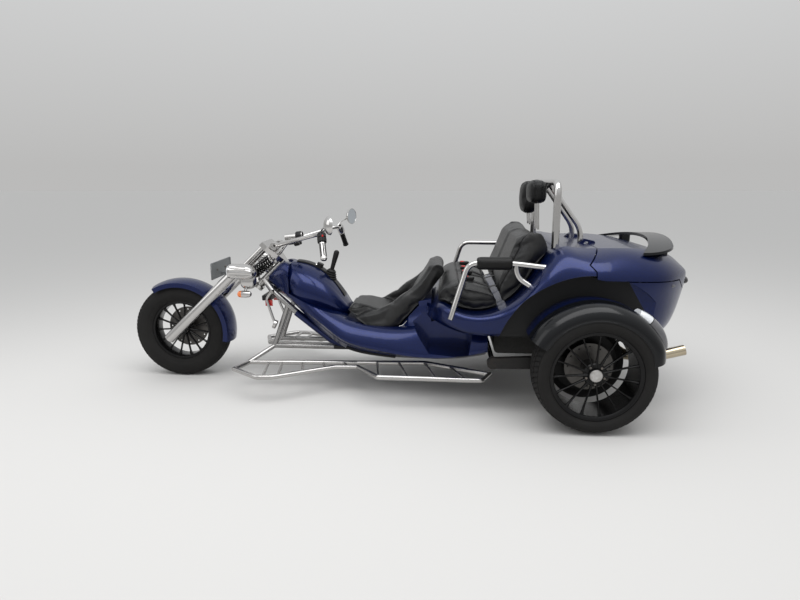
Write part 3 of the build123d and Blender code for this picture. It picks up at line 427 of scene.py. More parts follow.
# the finish of each node of the frame, also of those that a finer piece replaces below
nodeFinish = {
    "bluePaint": ["front_body", "tank", "boot_lid", "fender_inner", "front_fender"],
    "bodyPaintArchShade": ["rear_body"],
    "blackPaint": ["fender_band"],
    "darkPaint": ["wing"],
    "blackMoulding": ["tank_console", "front_reflector"],
    "blackRubber": ["gear_lever", "grips"],
    "seatLeather": ["driver_seat", "passenger_seat", "passenger_back", "headrests", "armrest_pad"],
    "chrome": ["armrests", "roll_bar", "fork_legs", "fork_yokes", "spring_strut", "handlebar", "mirrors",
               "gauge", "headlamps", "indicators", "foot_pedals"],
    "boardChrome": ["footboards"],
    "exhaustChrome": ["exhausts"],
    "discSteelShaded": ["front_disc", "rear_disc_left", "rear_disc_right"],
    "tyreRubber": ["front_tyre", "rear_tyre_left", "rear_tyre_right"],
    "wheelBlack": ["front_rim", "rear_rim_left", "rear_rim_right"],
    "axlePaint": ["rear_axle", "front_caliper"],
    "framePaint": ["frame"],
    "engineCastShaded": ["engine_block"],
    "plateGrey": ["number_plate"],
    "clearLens": ["tail_lamps"],
}
for finish, nodes in nodeFinish.items():
    for node in nodes:
        dress(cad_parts[node], finish)
say("frame nodes")


# pieces: what they ride on, how they are made from meshes and node trees
def keep(obj, body, nodes=()):
    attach(obj, body)
    if nodes:
        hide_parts(*nodes)
    return obj


def smoothShaded(mesh, finish):
    mesh.materials.clear()
    mesh.materials.append(finishes[finish])
    for face in mesh.polygons:
        face.material_index = 0
        face.use_smooth = True


def addObject(name, data):
    obj = bpy.data.objects.new(name, data)
    bpy.context.collection.objects.link(obj)
    return obj


def meshObject(name, bm, finish):
    mesh = bpy.data.meshes.new(name)
    bm.to_mesh(mesh)
    bm.free()
    smoothShaded(mesh, finish)
    return addObject(name, mesh)


def baked(obj, name, finish):
    graph = bpy.context.evaluated_depsgraph_get()
    mesh = bpy.data.meshes.new_from_object(obj.evaluated_get(graph))
    mesh.name = name
    done = addObject(name, mesh)
    bpy.data.objects.remove(obj)
    smoothShaded(mesh, finish)
    return done


def nodeForm(node):
    bm = bmesh.new()
    bm.from_mesh(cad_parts[node].data)
    bmesh.ops.remove_doubles(bm, verts=bm.verts, dist=0.00002)
    return bm


def pillowForm(place, half, power, cuts=14):
    # a box with bulging sides, rounder for a lower power
    bm = bmesh.new()
    bmesh.ops.create_cube(bm, size=2)
    bmesh.ops.subdivide_edges(bm, edges=bm.edges[:], cuts=cuts, use_grid_fill=True)
    for v in bm.verts:
        total = sum(abs(c) ** power for c in v.co) ** (1 / power)
        v.co = Vector(place) + Vector([c / total * h for c, h in zip(v.co, half)])
    bmesh.ops.recalc_face_normals(bm, faces=bm.faces[:])
    return bm


def metres(sizes):
    return [value / 1000 for value in sizes]


def voxelForm(name, bm, voxel, finish):
    obj = meshObject(name, bm, finish)
    remesh = obj.modifiers.new("remesh", "REMESH")
    remesh.mode = "VOXEL"
    remesh.voxel_size = voxel
    return baked(obj, name, finish)


def eased(bm, rounds):
    for i in range(rounds):
        bmesh.ops.smooth_vert(bm, verts=bm.verts[:], factor=0.5, use_axis_x=True, use_axis_y=True,
                              use_axis_z=True)


clothSizes = {"quality": 4, "frames": 20, "edgeRounds": 3}


def inflated(obj, pressure):
    # where cloth under pressure puts each point
    cloth = obj.modifiers.new("swell", "CLOTH")
    cloth.settings.use_pressure = True
    cloth.settings.uniform_pressure_force = pressure
    cloth.settings.quality = clothSizes["quality"]
    cloth.settings.effector_weights.gravity = 0
    cloth.point_cache.frame_start = 1
    cloth.point_cache.frame_end = clothSizes["frames"]
    for number in range(1, clothSizes["frames"] + 1):
        bpy.context.scene.frame_set(number)
    graph = bpy.context.evaluated_depsgraph_get()
    moved = [v.co.copy() for v in obj.evaluated_get(graph).to_mesh().vertices]
    obj.modifiers.remove(cloth)
    bpy.context.scene.frame_set(1)
    return moved


def swell(obj, sizes):
    # shrunk a little, swollen as cloth by no more than its cap, and left alone where it rests on something
    mesh = obj.data
    bm = bmesh.new()
    bm.from_mesh(mesh)
    eased(bm, sizes["smooth"])
    bm.normal_update()
    for v in bm.verts:
        v.co -= v.normal * sizes["shrink"]
    bm.to_mesh(mesh)
    bm.free()
    mesh.update()
    start = [v.co.copy() for v in mesh.vertices]
    normals = [v.normal.copy() for v in mesh.vertices]
    moved = inflated(obj, sizes["pressure"])
    resting = sizes.get("resting", -2)
    for v, s, n, m in zip(mesh.vertices, start, normals, moved):
        step = m - s
        allowed = sizes["cap"] * min(1, max(0.0, (n.z - resting) / 0.4))
        if step.length > allowed:
            step = step * (allowed / step.length) if step.length > 0 else step
        v.co = s + step
    bm = bmesh.new()
    bm.from_mesh(mesh)
    eased(bm, clothSizes["edgeRounds"])
    bm.to_mesh(mesh)
    bm.free()
    finer = obj.modifiers.new("finer", "SUBSURF")
    finer.levels = finer.render_levels = 1
    swollen = baked(obj, obj.name, sizes["finish"])
    swollen.name = swollen.data.name = sizes["name"]
    return swollen


def surfaceOf(*objects):
    bm = bmesh.new()
    for obj in objects:
        bm.from_mesh(obj.data)
    tree = BVHTree.FromBMesh(bm)
    bm.free()
    return tree


def spaced(points, step):
    out = []
    for first, second in zip(points, points[1:]):
        count = max(1, int((second - first).length / step))
        out += [first.lerp(second, i / count) for i in range(count)]
    return out + [points[-1]]


def smoothPath(points, step=0.006, rounds=24):
    path = spaced(points, step)
    for i in range(rounds):
        middle = [(a + b * 2 + c) / 4 for a, b, c in zip(path, path[1:], path[2:])]
        path = [path[0]] + middle + [path[-1]]
    return path


def layOn(tree, points, lift=0.0):
    laid = []
    for p in points:
        place, normal, face, gap = tree.find_nearest(p)
        laid.append(place + normal * lift)
    return laid


def sinkSeam(obj, path, width, depth):
    places = KDTree(len(path))
    for i, p in enumerate(path):
        places.insert(p, i)
    places.balance()
    normals = [v.normal.copy() for v in obj.data.vertices]
    for v, normal in zip(obj.data.vertices, normals):
        gap = places.find(v.co)[2]
        if gap < width:
            v.co -= normal * depth * (1 - gap / width) ** 1.6
    obj.data.update()


def tubeAlong(name, path, radius, finish, closed=False, sides=8):
    curve = bpy.data.curves.new(name, "CURVE")
    curve.dimensions = "3D"
    curve.bevel_depth = radius
    curve.bevel_resolution = max(0, sides // 2 - 2)
    curve.use_fill_caps = True
    spline = curve.splines.new("POLY")
    spline.points.add(len(path) - 1)
    for point, place in zip(spline.points, path):
        point.co = (*place, 1)
    spline.use_cyclic_u = closed
    return baked(addObject(name, curve), name, finish)


# node trees: each ends by making its copies real and giving them their finish
def geometryTree(name, inputs):
    tree = bpy.data.node_groups.new(name, "GeometryNodeTree")
    addSockets(tree, "INPUT", [("Geometry", "Geometry", None), *inputs, ("Finish", "Material", None)])
    addSockets(tree, "OUTPUT", [("Geometry", "Geometry", None)])
    return tree, tree.nodes.new("NodeGroupInput").outputs


def join(tree, *pairs):
    for source, target in pairs:
        tree.links.new(source, target)


def endTree(tree, made, start):
    real = addNode(tree, "GeometryNodeRealizeInstances")
    paint = addNode(tree, "GeometryNodeSetMaterial")
    end = tree.nodes.new("NodeGroupOutput")
    join(tree, (made, real.inputs["Geometry"]), (real.outputs["Geometry"], paint.inputs["Geometry"]),
         (start["Finish"], paint.inputs["Material"]), (paint.outputs["Geometry"], end.inputs["Geometry"]))
    return tree


def socketId(tree, label):
    return next(item.identifier for item in tree.interface.items_tree
                if item.name == label and item.in_out == "INPUT")


def grow(obj, tree, name, finish, **values):
    modifier = obj.modifiers.new(name, "NODES")
    modifier.node_group = tree
    for label, value in {**values, "Finish": finishes[finish]}.items():
        modifier[socketId(tree, label)] = value
    return baked(obj, name, finish)


def pathObject(name, paths):
    bm = bmesh.new()
    for path in paths:
        verts = [bm.verts.new(p) for p in path]
        for first, second in zip(verts, verts[1:]):
            bm.edges.new((first, second))
    mesh = bpy.data.meshes.new(name)
    bm.to_mesh(mesh)
    bm.free()
    return addObject(name, mesh)


def makeStitchTree():
    tree, start = geometryTree("stitchRow", [("Pitch", "Float", 0.006), ("Length", "Float", 0.004),
                                             ("Thickness", "Float", 0.0006)])
    resample = addNode(tree, "GeometryNodeResampleCurve", mode="LENGTH")
    toCurve = addNode(tree, "GeometryNodeMeshToCurve")
    thread = addNode(tree, "GeometryNodeMeshCylinder")
    thread.inputs["Vertices"].default_value = 6
    tangent = addNode(tree, "GeometryNodeInputTangent")
    align = addNode(tree, "FunctionNodeAlignRotationToVector", axis="Z")
    place = addNode(tree, "GeometryNodeInstanceOnPoints")
    join(tree, (start["Geometry"], toCurve.inputs["Mesh"]),
         (toCurve.outputs["Curve"], resample.inputs["Curve"]),
         (start["Pitch"], resample.inputs["Length"]), (start["Thickness"], thread.inputs["Radius"]),
         (start["Length"], thread.inputs["Depth"]), (tangent.outputs["Tangent"], align.inputs["Vector"]),
         (resample.outputs["Curve"], place.inputs["Points"]),
         (thread.outputs["Mesh"], place.inputs["Instance"]),
         (align.outputs["Rotation"], place.inputs["Rotation"]))
    return endTree(tree, place.outputs["Instances"], start)


stitchTree = makeStitchTree()
stitchSizes = {"Pitch": 0.0065, "Length": 0.0045, "Thickness": 0.0007}


def both(points):
    # the same points on the left and on the right
    return [[at(x, side * y, z) for x, y, z in points] for side in (1, -1)]


# seats: padded pieces grown from their nodes, with sunk and piped seams and a row of stitches beside each
seamSizes = {"width": 0.022, "depth": 0.007, "piping": 0.0021, "pipingLift": 0.0006, "stitchShift": 0.006,
             "stitchLift": 0.0004}
seatSizes = [
    {"name": "driverSeat", "node": "driver_seat", "voxel": 0.007, "smooth": 7, "shrink": 0.006,
     "pressure": 4.0, "cap": 0.014, "resting": -0.75, "finish": "seatLeather", "fill": 0.75,
     "seams": both([(1392, 150, 520), (1330, 170, 533), (1276, 173, 531), (1170, 174, 506), (1080, 174, 508),
                    (1010, 173, 566), (940, 165, 680), (893, 150, 765)])
              + [[at(1128, y, 498) for y in (-174, -90, 0, 90, 174)]]},
    {"name": "passengerSeat", "node": "passenger_seat", "voxel": 0.008, "smooth": 8, "shrink": 0.012,
     "pressure": 4.0, "cap": 0.024, "resting": -0.45, "finish": "seatLeather", "fill": 0.7,
     "seams": [[at(700, y, 738) for y in (-476, -200, 0, 200, 476)]]
              + both([(838, 380, 640), (820, 450, 640), (740, 482, 645), (600, 482, 640), (480, 482, 640)])
              + both([(700, 24, 735), (600, 24, 712), (490, 24, 684)])},
    {"name": "passengerBack", "node": "passenger_back", "voxel": 0.008, "smooth": 10, "shrink": 0.012,
     "pressure": 4.0, "cap": 0.024, "resting": -0.6, "finish": "seatLeather", "fill": 0.7,
     "seams": both([(480, 425, 690), (420, 425, 830), (360, 425, 990), (318, 425, 1044), (240, 425, 1036),
                    (196, 425, 965)])
              + both([(470, 24, 700), (418, 24, 830), (362, 24, 985), (318, 24, 1042)])},
]


def makeSeat(sizes, seam):
    name = sizes["name"]
    form = voxelForm(name, nodeForm(sizes["node"]), sizes["voxel"], sizes["finish"])
    cushion = swell(form, sizes)
    tree = surfaceOf(cushion)
    paths = [layOn(tree, smoothPath(line)) for line in sizes["seams"]]
    for path in paths:
        sinkSeam(cushion, path, seam["width"], seam["depth"])
    tree = surfaceOf(cushion)
    keep(cushion, "chassis", [sizes["node"]])
    for number, path in enumerate(paths):
        laid = layOn(tree, path, seam["pipingLift"])
        piping = tubeAlong(f"{name}Piping{number}", laid, seam["piping"], "seatPiping")
        keep(piping, "chassis")
    shift = Vector((0.0, seam["stitchShift"], 0.0))
    rows = [layOn(tree, [p + shift for p in path], seam["stitchLift"]) for path in paths]
    stitches = grow(pathObject(name + "Stitches", rows), stitchTree, name + "Stitches", "seatThread",
                    **stitchSizes)
    keep(stitches, "chassis")
    return cushion


seats = {sizes["name"]: makeSeat(sizes, seamSizes) for sizes in seatSizes}
say("seats")

# headrests: cushions with a piped ring near each face, on a bracket from the roll bar
headrestSizes = [
    {"name": "nearHeadrest", "place": (250, 200, 1240), "half": (57, 113, 72)},
    {"name": "farHeadrest", "place": (236, -200, 1196), "half": (55, 113, 108)},
]
headrestKind = {"power": 3.6, "voxel": 0.006, "smooth": 2, "shrink": 0.006, "pressure": 4.0, "cap": 0.01,
                "finish": "padLeather", "fill": 0.85, "seamWidth": 0.016, "seamDepth": 0.005,
                "piping": 0.0022, "rings": (0.45, -0.45), "ringReach": 1.1, "barTop": (162, 1290),
                "bracket": 0.011}


def makeHeadrest(sizes):
    name, (x, y, z), (depth, wide, tall) = sizes["name"], sizes["place"], sizes["half"]
    bm = pillowForm(at(x, y, z), metres(sizes["half"]), sizes["power"])
    cushion = swell(voxelForm(name, bm, sizes["voxel"], sizes["finish"]), sizes)
    reach = sizes["ringReach"]
    turns = [i * math.pi / 40 for i in range(80)]
    tree = surfaceOf(cushion)
    for number, front in enumerate(sizes["rings"]):
        ring = [at(x + front * depth, y + reach * wide * math.cos(a), z + reach * tall * math.sin(a))
                for a in turns]
        sinkSeam(cushion, layOn(tree, ring), sizes["seamWidth"], sizes["seamDepth"])
        laid = layOn(surfaceOf(cushion), ring, 0.0004)
        piping = tubeAlong(f"{name}Piping{number}", laid, sizes["piping"], "seatPiping", closed=True)
        keep(piping, "chassis")
    keep(cushion, "chassis", ["headrests"])
    barX, barZ = sizes["barTop"]
    way = smoothPath([at(x - 30, y, z + 10), at(x - 70, y, z + 30), at(barX, y, barZ)])
    keep(tubeAlong(name + "Bracket", way, sizes["bracket"], "wheelBlack"), "chassis")


for sizes in headrestSizes:
    makeHeadrest({**headrestKind, **sizes})

# pad round the left armrest's rail, slightly tapered at its ends
padSizes = {"name": "armPad", "place": (510, 520, 859), "half": (100, 39, 39), "power": 6.0, "cuts": 10,
            "radius": 38, "taper": 0.12, "voxel": 0.004, "smooth": 2, "shrink": 0.002, "pressure": 3.0,
            "cap": 0.004, "finish": "padLeather", "fill": 0.9}


def makeArmPad(sizes):
    centre = at(*sizes["place"])
    half, taper = sizes["half"][0] / 1000, sizes["taper"]
    bm = pillowForm(centre, metres(sizes["half"]), sizes["power"], sizes["cuts"])
    for v in bm.verts:
        local = v.co - centre
        reach = math.hypot(local.y, local.z)
        if reach > 0.0001:
            past = max(0, abs(local.x) / half - (1 - taper)) / taper
            share = min(reach, sizes["radius"] / 1000 * (1 - taper * past)) / reach
            v.co = centre + Vector((local.x, local.y * share, local.z * share))
    pad = swell(voxelForm(sizes["name"], bm, sizes["voxel"], sizes["finish"]), sizes)
    keep(pad, "chassis", ["armrest_pad"])


makeArmPad(padSizes)
say("headrests and pad")


# one piece set many times round an axle
def makeAroundTree():
    tree, start = geometryTree("setRoundAxle", [("Count", "Int", 15), ("Start", "Float", 0.0),
                                                ("Centre", "Vector", None)])
    points = addNode(tree, "GeometryNodePoints")
    index = addNode(tree, "GeometryNodeInputIndex")
    step = addNode(tree, "ShaderNodeMath", operation="DIVIDE")
    step.inputs[0].default_value = 2 * math.pi
    angle = addNode(tree, "ShaderNodeMath", operation="MULTIPLY_ADD")
    euler = addNode(tree, "ShaderNodeCombineXYZ")
    rotation = addNode(tree, "FunctionNodeEulerToRotation")
    place = addNode(tree, "GeometryNodeInstanceOnPoints")
    move = addNode(tree, "GeometryNodeTransform")
    join(tree, (start["Count"], points.inputs["Count"]), (start["Count"], step.inputs[1]),
         (index.outputs["Index"], angle.inputs[0]), (step.outputs[0], angle.inputs[1]),
         (start["Start"], angle.inputs[2]), (angle.outputs[0], euler.inputs["Y"]),
         (euler.outputs[0], rotation.inputs[0]), (points.outputs[0], place.inputs["Points"]),
         (start["Geometry"], place.inputs["Instance"]), (rotation.outputs[0], place.inputs["Rotation"]),
         (place.outputs["Instances"], move.inputs["Geometry"]), (start["Centre"], move.inputs["Translation"]))
    return endTree(tree, move.outputs["Geometry"], start)


aroundTree = makeAroundTree()


def crisp(obj, angle=32):
    obj.data.set_sharp_from_angle(angle=math.radians(angle))
    return obj


def around(name, bm, finish, count, centre, start=0.0):
    obj = meshObject(name, bm, finish)
    return crisp(grow(obj, aroundTree, name, finish, Count=count, Start=start, Centre=centre))


def turned(name, profile, centre, finish, steps=96, closed=True, turn=None, angle=32):
    # a profile in millimetres as (along the axle, radius), turned about an axle along Y
    bm = bmesh.new()
    rings = []
    for i in range(steps):
        a = 2 * math.pi * i / steps
        c, s = math.cos(a), math.sin(a)
        rings.append([bm.verts.new((r / 1000 * c, y / 1000, r / 1000 * s)) for y, r in profile])
    count = len(profile)
    for ring, after in zip(rings, rings[1:] + rings[:1]):
        for j in range(count if closed else count - 1):
            k = (j + 1) % count
            bm.faces.new((ring[j], ring[k], after[k], after[j]))
    bmesh.ops.remove_doubles(bm, verts=bm.verts, dist=0.00001)
    bmesh.ops.recalc_face_normals(bm, faces=bm.faces[:])
    matrix = Matrix.Translation(centre) @ (turn.to_4x4() if turn else Matrix.Identity(4))
    bmesh.ops.transform(bm, matrix=matrix, verts=bm.verts)
    return crisp(meshObject(name, bm, finish), angle)


def loftForm(rings):
    # a closed skin over rings of the same count, with both ends filled
    bm = bmesh.new()
    loops = [[bm.verts.new(p) for p in ring] for ring in rings]
    count = len(loops[0])
    for first, second in zip(loops, loops[1:]):
        for i in range(count):
            k = (i + 1) % count
            bm.faces.new((first[i], first[k], second[k], second[i]))
    bm.faces.new(loops[0])
    bm.faces.new(list(reversed(loops[-1])))
    bmesh.ops.recalc_face_normals(bm, faces=bm.faces[:])
    return bm


def ribForm(bm, columns, side, depths, point):
    # one block of tread: a grid over the crown and one below it, joined round their edges
    grid = [[[bm.verts.new(point(y, t, depth, side)) for t in (0.0, 0.5, 1.0)] for y in columns]
            for depth in depths]
    for layer in grid:
        for i in range(3):
            for j in range(2):
                bm.faces.new((layer[i][j], layer[i + 1][j], layer[i + 1][j + 1], layer[i][j + 1]))
    edges = [[(i, 0) for i in range(4)], [(i, 2) for i in range(4)], [(0, j) for j in range(3)],
             [(3, j) for j in range(3)]]
    for line in edges:
        for (a, b), (c, d) in zip(line, line[1:]):
            bm.faces.new((grid[0][a][b], grid[0][c][d], grid[1][c][d], grid[1][a][b]))


def treadForm(sizes):
    # one pitch of tread: ribs and shoulder blocks following the crown
    bm = bmesh.new()
    step = 2 * math.pi / sizes["pitches"]
    for low, high, share, slant in sizes["ribs"]:

        def point(y, t, depth, side):
            a = step * (share * (t - 0.5)) + slant * step * (y / sizes["shoulder"])
            crown = sizes["radius"] - sizes["drop"] * (y / sizes["shoulder"]) ** 2
            r = (crown - depth) / 1000
            return r * math.cos(a), side * y / 1000, r * math.sin(a)

        columns = [low + (high - low) * i / 3 for i in range(4)]
        for side in ((1, -1) if low > 0 else (1,)):
            ribForm(bm, columns, side, (sizes["depth"] + 1.5, 0.0), point)
    bmesh.ops.recalc_face_normals(bm, faces=bm.faces[:])
    return bm


def spokeForm(sizes, side):
    # a tapered blade from the hub to the barrel, wider at its ends and chamfered on its outer edges
    chamfer = 2.2
    rings = []
    for r, wide, out, deep in sizes["spoke"]:
        outline = ((-wide, -deep), (-wide, -chamfer), (-wide * 0.55, 0), (wide * 0.55, 0), (wide, -chamfer),
                   (wide, -deep))
        rings.append([(r / 1000, side * (out + y) / 1000, x / 1000) for x, y in outline])
    return loftForm(rings)


def boltForm(ring, radius, tall, side, sides=6):
    # a bolt head standing along Y on its bolt ring
    turns = [2 * math.pi * i / sides for i in range(sides)]
    return loftForm([[((ring + radius * math.cos(a)) / 1000, side * y / 1000, radius * math.sin(a) / 1000)
                      for a in turns] for y in tall])


def mirroredProfile(half):
    return half + [(-y, r) for y, r in reversed(half)]


rearTyre = {"radius": rearRadius, "shoulder": 105.6, "drop": 16.8, "depth": 6.5, "pitches": 66,
            "ribs": [(-13, 13, 0.97, 0.0), (20, 48, 0.86, 0.9), (55, 104.5, 0.8, 1.3)],
            "half": [(103, 229.5), (103.4, 239.5), (108.5, 240.5), (110.8, 243.5), (110.9, 246),
                     (112.4, 247.2), (115.2, 252), (117.4, 257), (118.4, 258.5), (119.5, 265), (120, 272),
                     (119.8, 279), (118.6, 286), (117.9, 287), (116.2, 292.5), (113.6, 296.6), (109, 299.4),
                     (104.5, 300.2), (70, 306), (52, 309), (17, 313), (0, 313.3)]}
frontTyre = {"radius": frontRadius, "shoulder": 66, "drop": 10.5, "depth": 6, "pitches": 72,
             "ribs": [(-8, 8, 0.98, 0.0), (13, 33, 0.84, 1.0), (39, 65, 0.8, 1.5)],
             "half": [(52, 190.5), (52.3, 200.5), (57, 201.5), (60, 205), (60.2, 208), (62, 209.5), (67, 220),
                      (70.6, 232), (71.6, 233.5), (74, 247), (74.8, 258), (74.2, 270), (72.6, 281),
                      (71.8, 282), (69.6, 292), (67, 298.5), (63.5, 301), (36, 307.5), (10, 310), (0, 310.6)]}
# a spoke is given as (radius, half width, outer face, depth) from the hub to the barrel
rearRim = {"barrel": [(109.2, 232), (109.2, 236), (107.4, 238.8), (104.4, 238.8), (103.5, 228.7),
                      (-103.5, 228.7), (-104.4, 238.8), (-107.4, 238.8), (-109.2, 236), (-109.2, 223),
                      (-102, 219.4), (88, 219.4), (93, 216.5), (99, 217.5), (104, 222.5)],
           "spoke": [(38, 5.5, 72, 17), (62, 5.6, 71, 17), (100, 4.0, 69, 15), (160, 3.7, 71, 14),
                     (200, 4.8, 76, 14), (221, 8.5, 83, 15)],
           "count": 15, "start": 0.05,
           "hub": [(-69, 31), (-69, 45), (48, 45), (50, 60), (63, 63), (68, 58), (69, 40), (83, 38), (84, 34),
                   (77, 30.5)],
           "cap": [(76, 0), (76, 33), (84, 33), (88.5, 30), (90.5, 22), (90.5, 9), (89, 7.5), (89, 0)],
           "boltRing": 49, "bolts": 5, "boltTall": (66, 76)}
frontRim = {"barrel": [(58, 193), (58, 197.5), (56.6, 199.6), (53.4, 199.6), (52.4, 189.7), (-52.4, 189.7),
                       (-53.4, 199.6), (-56.6, 199.6), (-58, 197.5), (-58, 193), (-54, 184.5), (-48, 181.7),
                       (48, 181.7), (54, 184.5)],
            "spoke": [(34, 6.0, 10, 20), (60, 5.2, 9, 18), (110, 4.2, 8, 15), (160, 4.2, 8, 15),
                      (176, 6.5, 10, 18), (184, 9.5, 12, 22)],
            "count": 15, "start": 0.06,
            "hub": [(-61, 12.4), (-61, 30), (-30, 36), (-14, 40), (14, 40), (30, 36), (61, 30), (61, 12.4)],
            "boltRing": 30, "bolts": 5, "boltTall": (28, 40)}
wheelSizes = [
    {"name": "frontWheel", "body": "front_wheel", "centre": (wheelbase, 0, frontRadius), "side": 1,
     "tyre": frontTyre, "rim": frontRim, "tyreNode": "front_tyre", "rimNode": "front_rim"},
    {"name": "leftWheel", "body": "rear_wheel_left", "centre": (0, halfTrack, rearRadius), "side": 1,
     "tyre": rearTyre, "rim": rearRim, "tyreNode": "rear_tyre_left", "rimNode": "rear_rim_left"},
    {"name": "rightWheel", "body": "rear_wheel_right", "centre": (0, -halfTrack, rearRadius), "side": -1,
     "tyre": rearTyre, "rim": rearRim, "tyreNode": "rear_tyre_right", "rimNode": "rear_rim_right"},
]
boltSizes = {"radius": 6.5, "start": 0.3}


def makeWheel(sizes):
    name, body, centre, side = sizes["name"], sizes["body"], at(*sizes["centre"]), sizes["side"]
    tyre, rim = sizes["tyre"], sizes["rim"]

    def onSide(part):
        return [(side * y, r) for y, r in rim[part]]

    carcass = turned(name + "Tyre", mirroredProfile(tyre["half"]), centre, "tyreRubber", 144, angle=28)
    keep(carcass, body, [sizes["tyreNode"]])
    keep(around(name + "Tread", treadForm(tyre), "tyreRubber", tyre["pitches"], centre), body)
    barrel = turned(name + "Barrel", onSide("barrel"), centre, "wheelBlack", 144)
    keep(barrel, body, [sizes["rimNode"]])
    spokes = around(name + "Spokes", spokeForm(rim, side), "wheelBlack", rim["count"], centre, rim["start"])
    keep(spokes, body)
    keep(turned(name + "Hub", onSide("hub"), centre, "wheelBlack", 72), body)
    if "cap" in rim:
        cap = turned(name + "Cap", onSide("cap"), centre, "capSilver", 64, closed=False)
        keep(cap, body)
    head = boltForm(rim["boltRing"], boltSizes["radius"], rim["boltTall"], side)
    bolts = around(name + "Bolts", head, "boltSteel", rim["bolts"], centre, boltSizes["start"])
    keep(bolts, body)


for sizes in wheelSizes:
    makeWheel(sizes)
say("wheels")


# front end: lamps, coil spring, gear lever, mirrors, handlebar fittings, dials and lenses
def turnedOn(name, profile, start, end, finish, steps=48):
    # a profile in millimetres as (along, radius), turned about the line between two points
    first, last = at(*start), at(*end)
    turn = Vector((0, 1, 0)).rotation_difference(last - first).to_matrix()
    closed = profile[0][1] > 0 or profile[-1][1] > 0
    return turned(name, profile, first, finish, steps, closed, turn)


def rod(name, points, radius, finish, body, nodes=(), sides=16, rounds=24):
    path = smoothPath([at(*p) for p in points], 0.005, rounds)
    return keep(tubeAlong(name, path, radius / 1000, finish, sides=sides), body, nodes)


def ovalRing(x, y, z, wide, tall, ripple=0.0):
    # a ring across the vehicle, with ribs as a ripple of its size
    power, sides, ribs = 2.6, 96, 20
    ring = []
    for i in range(sides):
        a = 2 * math.pi * i / sides
        c, s = math.cos(a), math.sin(a)
        grown = 1 + ripple * math.cos(a * ribs)
        ring.append(at(x, y + grown * wide * math.copysign(abs(c) ** (2 / power), c),
                       z + grown * tall * math.copysign(abs(s) ** (2 / power), s)))
    return ring


# a lamp's rings are given as (station, height, half width, half height, ripple) from its glass backwards
lampSizes = {"side": 298, "rings": [(2090, 765, 60, 41, 0), (2078, 765, 62, 43.5, 0),
                                    (2074, 765, 60, 42, 0.03), (2030, 765, 60, 42, 0.035),
                                    (1990, 763, 58, 41, 0.035),
                                    (1965, 760, 54, 37, 0.03), (1945, 755, 44, 28, 0), (1934, 751, 28, 16, 0),
                                    (1931, 750, 8, 5, 0)],
             "glass": [(0, 0.93), (5, 0.9), (9, 0.75), (11.5, 0.4), (12, 0.05)], "glassGap": 0.4,
             "bracket": (1998, 248, 694), "bracketHalf": (50, 44, 50), "bracketPower": 2.3,
             "arm": [(2100, 187, 726), (2050, 215, 715), (2000, 260, 712)], "armRadius": 15}


def sided(points, side):
    return [(x, side * y, z) for x, y, z in points]


def makeLamp(sizes, side):
    name, y = nameOf(side) + "Lamp", side * sizes["side"]
    rings = [ovalRing(x, y, z, wide, tall, ripple) for x, z, wide, tall, ripple in sizes["rings"]]
    shell = meshObject(name + "Shell", loftForm(rings), "chrome")
    keep(crisp(shell, 40), "steering", ["headlamps"])
    x, z, wide, tall, ripple = sizes["rings"][0]
    rings = [ovalRing(x + sizes["glassGap"] + out, y, z, wide * share, tall * share)
             for out, share in sizes["glass"]]
    keep(crisp(meshObject(name + "Glass", loftForm(rings), "clearLens"), 40), "steering")
    bracketX, bracketY, bracketZ = sizes["bracket"]
    bracket = pillowForm(at(bracketX, side * bracketY, bracketZ), metres(sizes["bracketHalf"]),
                         sizes["bracketPower"])
    keep(meshObject(name + "Bracket", bracket, "chrome"), "steering")
    rod(name + "Arm", sided(sizes["arm"], side), sizes["armRadius"], "chrome", "steering")


for side in (1, -1):
    makeLamp(lampSizes, side)

flasherSizes = {"rear": (1965, 298, 622), "length": 100,
                "shell": [(0, 0), (2, 9), (8, 16), (20, 21), (30, 22), (60, 22), (60, 19), (56, 18), (56, 0)],
                "lens": [(59, 0), (59, 20), (66, 21), (78, 19.5), (85, 14), (88, 0)],
                "stem": [(2008, 290, 640), (2004, 270, 660), (2000, 256, 680)], "stemRadius": 8}


def makeFlasher(sizes, side):
    name = nameOf(side) + "Flasher"
    rear = sided([sizes["rear"]], side)[0]
    front = (rear[0] + sizes["length"], rear[1], rear[2])
    shell = turnedOn(name + "Shell", sizes["shell"], rear, front, "chrome")
    keep(shell, "steering", ["indicators"])
    keep(turnedOn(name + "Lens", sizes["lens"], rear, front, "orangeLens"), "steering")
    rod(name + "Stem", sided(sizes["stem"], side), sizes["stemRadius"], "chrome", "steering")


for side in (1, -1):
    makeFlasher(flasherSizes, side)


# coil spring on its damper, between the yokes
def makeCoilTree():
    tree, start = geometryTree("coil", [("Turns", "Float", 8.0), ("Radius", "Float", 0.03),
                                        ("Length", "Float", 0.1), ("Wire", "Float", 0.005),
                                        ("Centre", "Vector", None), ("Turn", "Rotation", None)])
    spiral = addNode(tree, "GeometryNodeCurveSpiral")
    spiral.inputs["Resolution"].default_value = 28
    ring = addNode(tree, "GeometryNodeCurvePrimitiveCircle")
    ring.inputs["Resolution"].default_value = 12
    wire = addNode(tree, "GeometryNodeCurveToMesh")
    wire.inputs["Fill Caps"].default_value = True
    move = addNode(tree, "GeometryNodeTransform")
    join(tree, (start["Turns"], spiral.inputs["Rotations"]), (start["Radius"], spiral.inputs["Start Radius"]),
         (start["Radius"], spiral.inputs["End Radius"]), (start["Length"], spiral.inputs["Height"]),
         (start["Wire"], ring.inputs["Radius"]), (spiral.outputs["Curve"], wire.inputs["Curve"]),
         (ring.outputs["Curve"], wire.inputs["Profile Curve"]),
         (wire.outputs["Mesh"], move.inputs["Geometry"]),
         (start["Centre"], move.inputs["Translation"]), (start["Turn"], move.inputs["Rotation"]))
    return endTree(tree, move.outputs["Geometry"], start)


